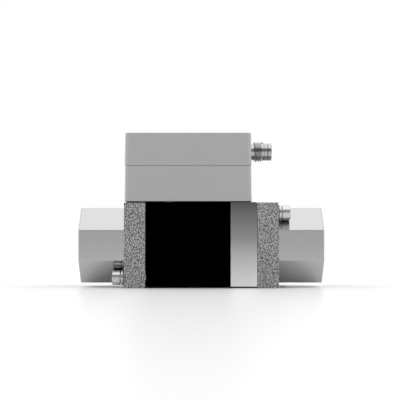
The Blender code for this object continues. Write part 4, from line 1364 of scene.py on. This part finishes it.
label_high.x += FOIL_OVERLAP
label = block("front_foil", label_low, label_high)
bpy.ops.object.mode_set(mode="EDIT")
pick_edges(along("Y"))
bpy.ops.mesh.bevel(offset=FOIL_CORNER, segments=4, affect="EDGES")
pick_edges(at_level("Y", label_low.y))
bpy.ops.mesh.bevel(offset=FOIL_EDGE, segments=2, affect="EDGES")
bpy.ops.object.mode_set(mode="OBJECT")
smooth(label)
label.data.materials.append(foil)
seat(label, "foil", "front_label")

# %% [markdown]
# ## Finishes of the pieces that keep their CAD shape
#
# The measuring body, the inner insert, the seals and the electronics are right as they are in the CAD
# model. They get the finishes of their real materials: black glass-filled moulding, natural
# fluoropolymer, moulded rubber, green circuit board, black chip epoxy and gold-plated pins. Their
# real patterns are finer than a pixel, so they are drawn coarser.

# %% Black body moulding
# Glass fibres close under the skin give the deep black a satin sheen and a faint, uneven cloud.
FIBRE = 0.35 * MM

black_moulding = patterned(
    "black glass-filled polyamide",
    "#141414",
    metallic=0.0,
    roughness=0.45,
    size=FIBRE,
    detail=3.0,
    reach=NOISE_CORE,
    sheen=(0.38, 0.55),
    shades=("#101010", "#1a1a1a"),
    depth=0.010 * MM,
)

# %% Natural fluoropolymer
# Machined from an unfilled rod, it looks milky and waxy, with soft clouds.
CLOUD_SIZE = 2.0 * MM

natural = patterned(
    "natural fluoropolymer",
    "#dfdcd3",
    metallic=0.0,
    roughness=0.38,
    size=CLOUD_SIZE,
    sheen=(0.30, 0.46),
    shades=("#d8d4c9", "#e6e3db"),
)

# %% Moulded rubber
# Pressed in a mould, it is nearly black and dull, with greyer patches of bloom.
BLOOM_SIZE = 0.6 * MM

rubber = patterned(
    "moulded black rubber",
    "#1c1c1c",
    metallic=0.0,
    roughness=0.7,
    size=BLOOM_SIZE,
    detail=3.0,
    sheen=(0.60, 0.82),
    shades=("#161616", "#242424"),
)

# %% Circuit board
# Solder mask over glass cloth gives a half gloss that changes with the weave.
GLASS_WEAVE = 0.5 * MM

laminate = patterned(
    "green solder mask on glass laminate",
    "#14512a",
    metallic=0.0,
    roughness=0.35,
    size=GLASS_WEAVE,
    sheen=(0.26, 0.44),
    shades=("#0f4522", "#1a5e33"),
)

# %% Chip epoxy
# Its mineral filler makes the moulded black dull and faintly speckled.
FILLER_GRAIN = 0.2 * MM

epoxy = patterned(
    "black moulding compound",
    "#202022",
    metallic=0.0,
    roughness=0.55,
    size=FILLER_GRAIN,
    shades=("#1a1a1c", "#28282a"),
    depth=0.004 * MM,
)

# %% Gold plating
# A thin plated layer gives a warm mirror, a little uneven.
PLATING_GRAIN = 0.3 * MM

gold = patterned(
    "gold-plated contact", "#e3bd6a", metallic=1.0, roughness=0.2, size=PLATING_GRAIN, sheen=(0.12, 0.30)
)

# %% [markdown]
# ## Smooth copies of the round CAD pieces
#
# A CAD node comes in as loose triangles, so its round faces look faceted. A copy is merged into one
# skin and shaded smooth, and it stands for the node.

# %% Merged copies
def merged_copy(node, name, finish, slot):
    """A smooth copy of a CAD node, seated in its place."""
    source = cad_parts[node]
    copy = bpy.data.objects.new(name, source.data.copy())
    bpy.context.scene.collection.objects.link(copy)
    choose(copy)
    edit_all()
    bpy.ops.mesh.remove_doubles(threshold=SAME_PLACE)
    bpy.ops.object.mode_set(mode="OBJECT")
    bpy.ops.mesh.customdata_custom_splitnormals_clear()
    smooth(copy)
    copy.data.materials.clear()
    copy.data.materials.append(finish)
    seat(copy, slot, node)


KEPT_SHAPES = {
    "measuring_body": (black_moulding, "black_plastic"),
    "shedder_bar": (natural, "natural_polymer"),
    "sensing_paddle": (natural, "natural_polymer"),
    "clamp_plate": (polished, "polished_steel"),
    "circuit_board": (laminate, "laminate"),
    "processor_chip": (epoxy, "black_plastic"),
    "lead_header": (epoxy, "black_plastic"),
    "sensor_lead": (rubber, "rubber"),
    "connector_insert": (epoxy, "black_plastic"),
}
for seal in ("inlet_seal", "outlet_seal", "shedder_seal", "paddle_seal", "housing_gasket", "base_seal"):
    KEPT_SHAPES[seal] = (rubber, "rubber")
for number in range(1, 5):
    KEPT_SHAPES[f"contact_pin_{number}"] = (gold, "gold")
for number in (1, 2):
    for use in ("clamp", "base", "board"):
        KEPT_SHAPES[f"{use}_screw_{number}"] = (polished, "polished_steel")
for node, (finish, slot) in KEPT_SHAPES.items():
    merged_copy(node, node + "_smooth", finish, slot)
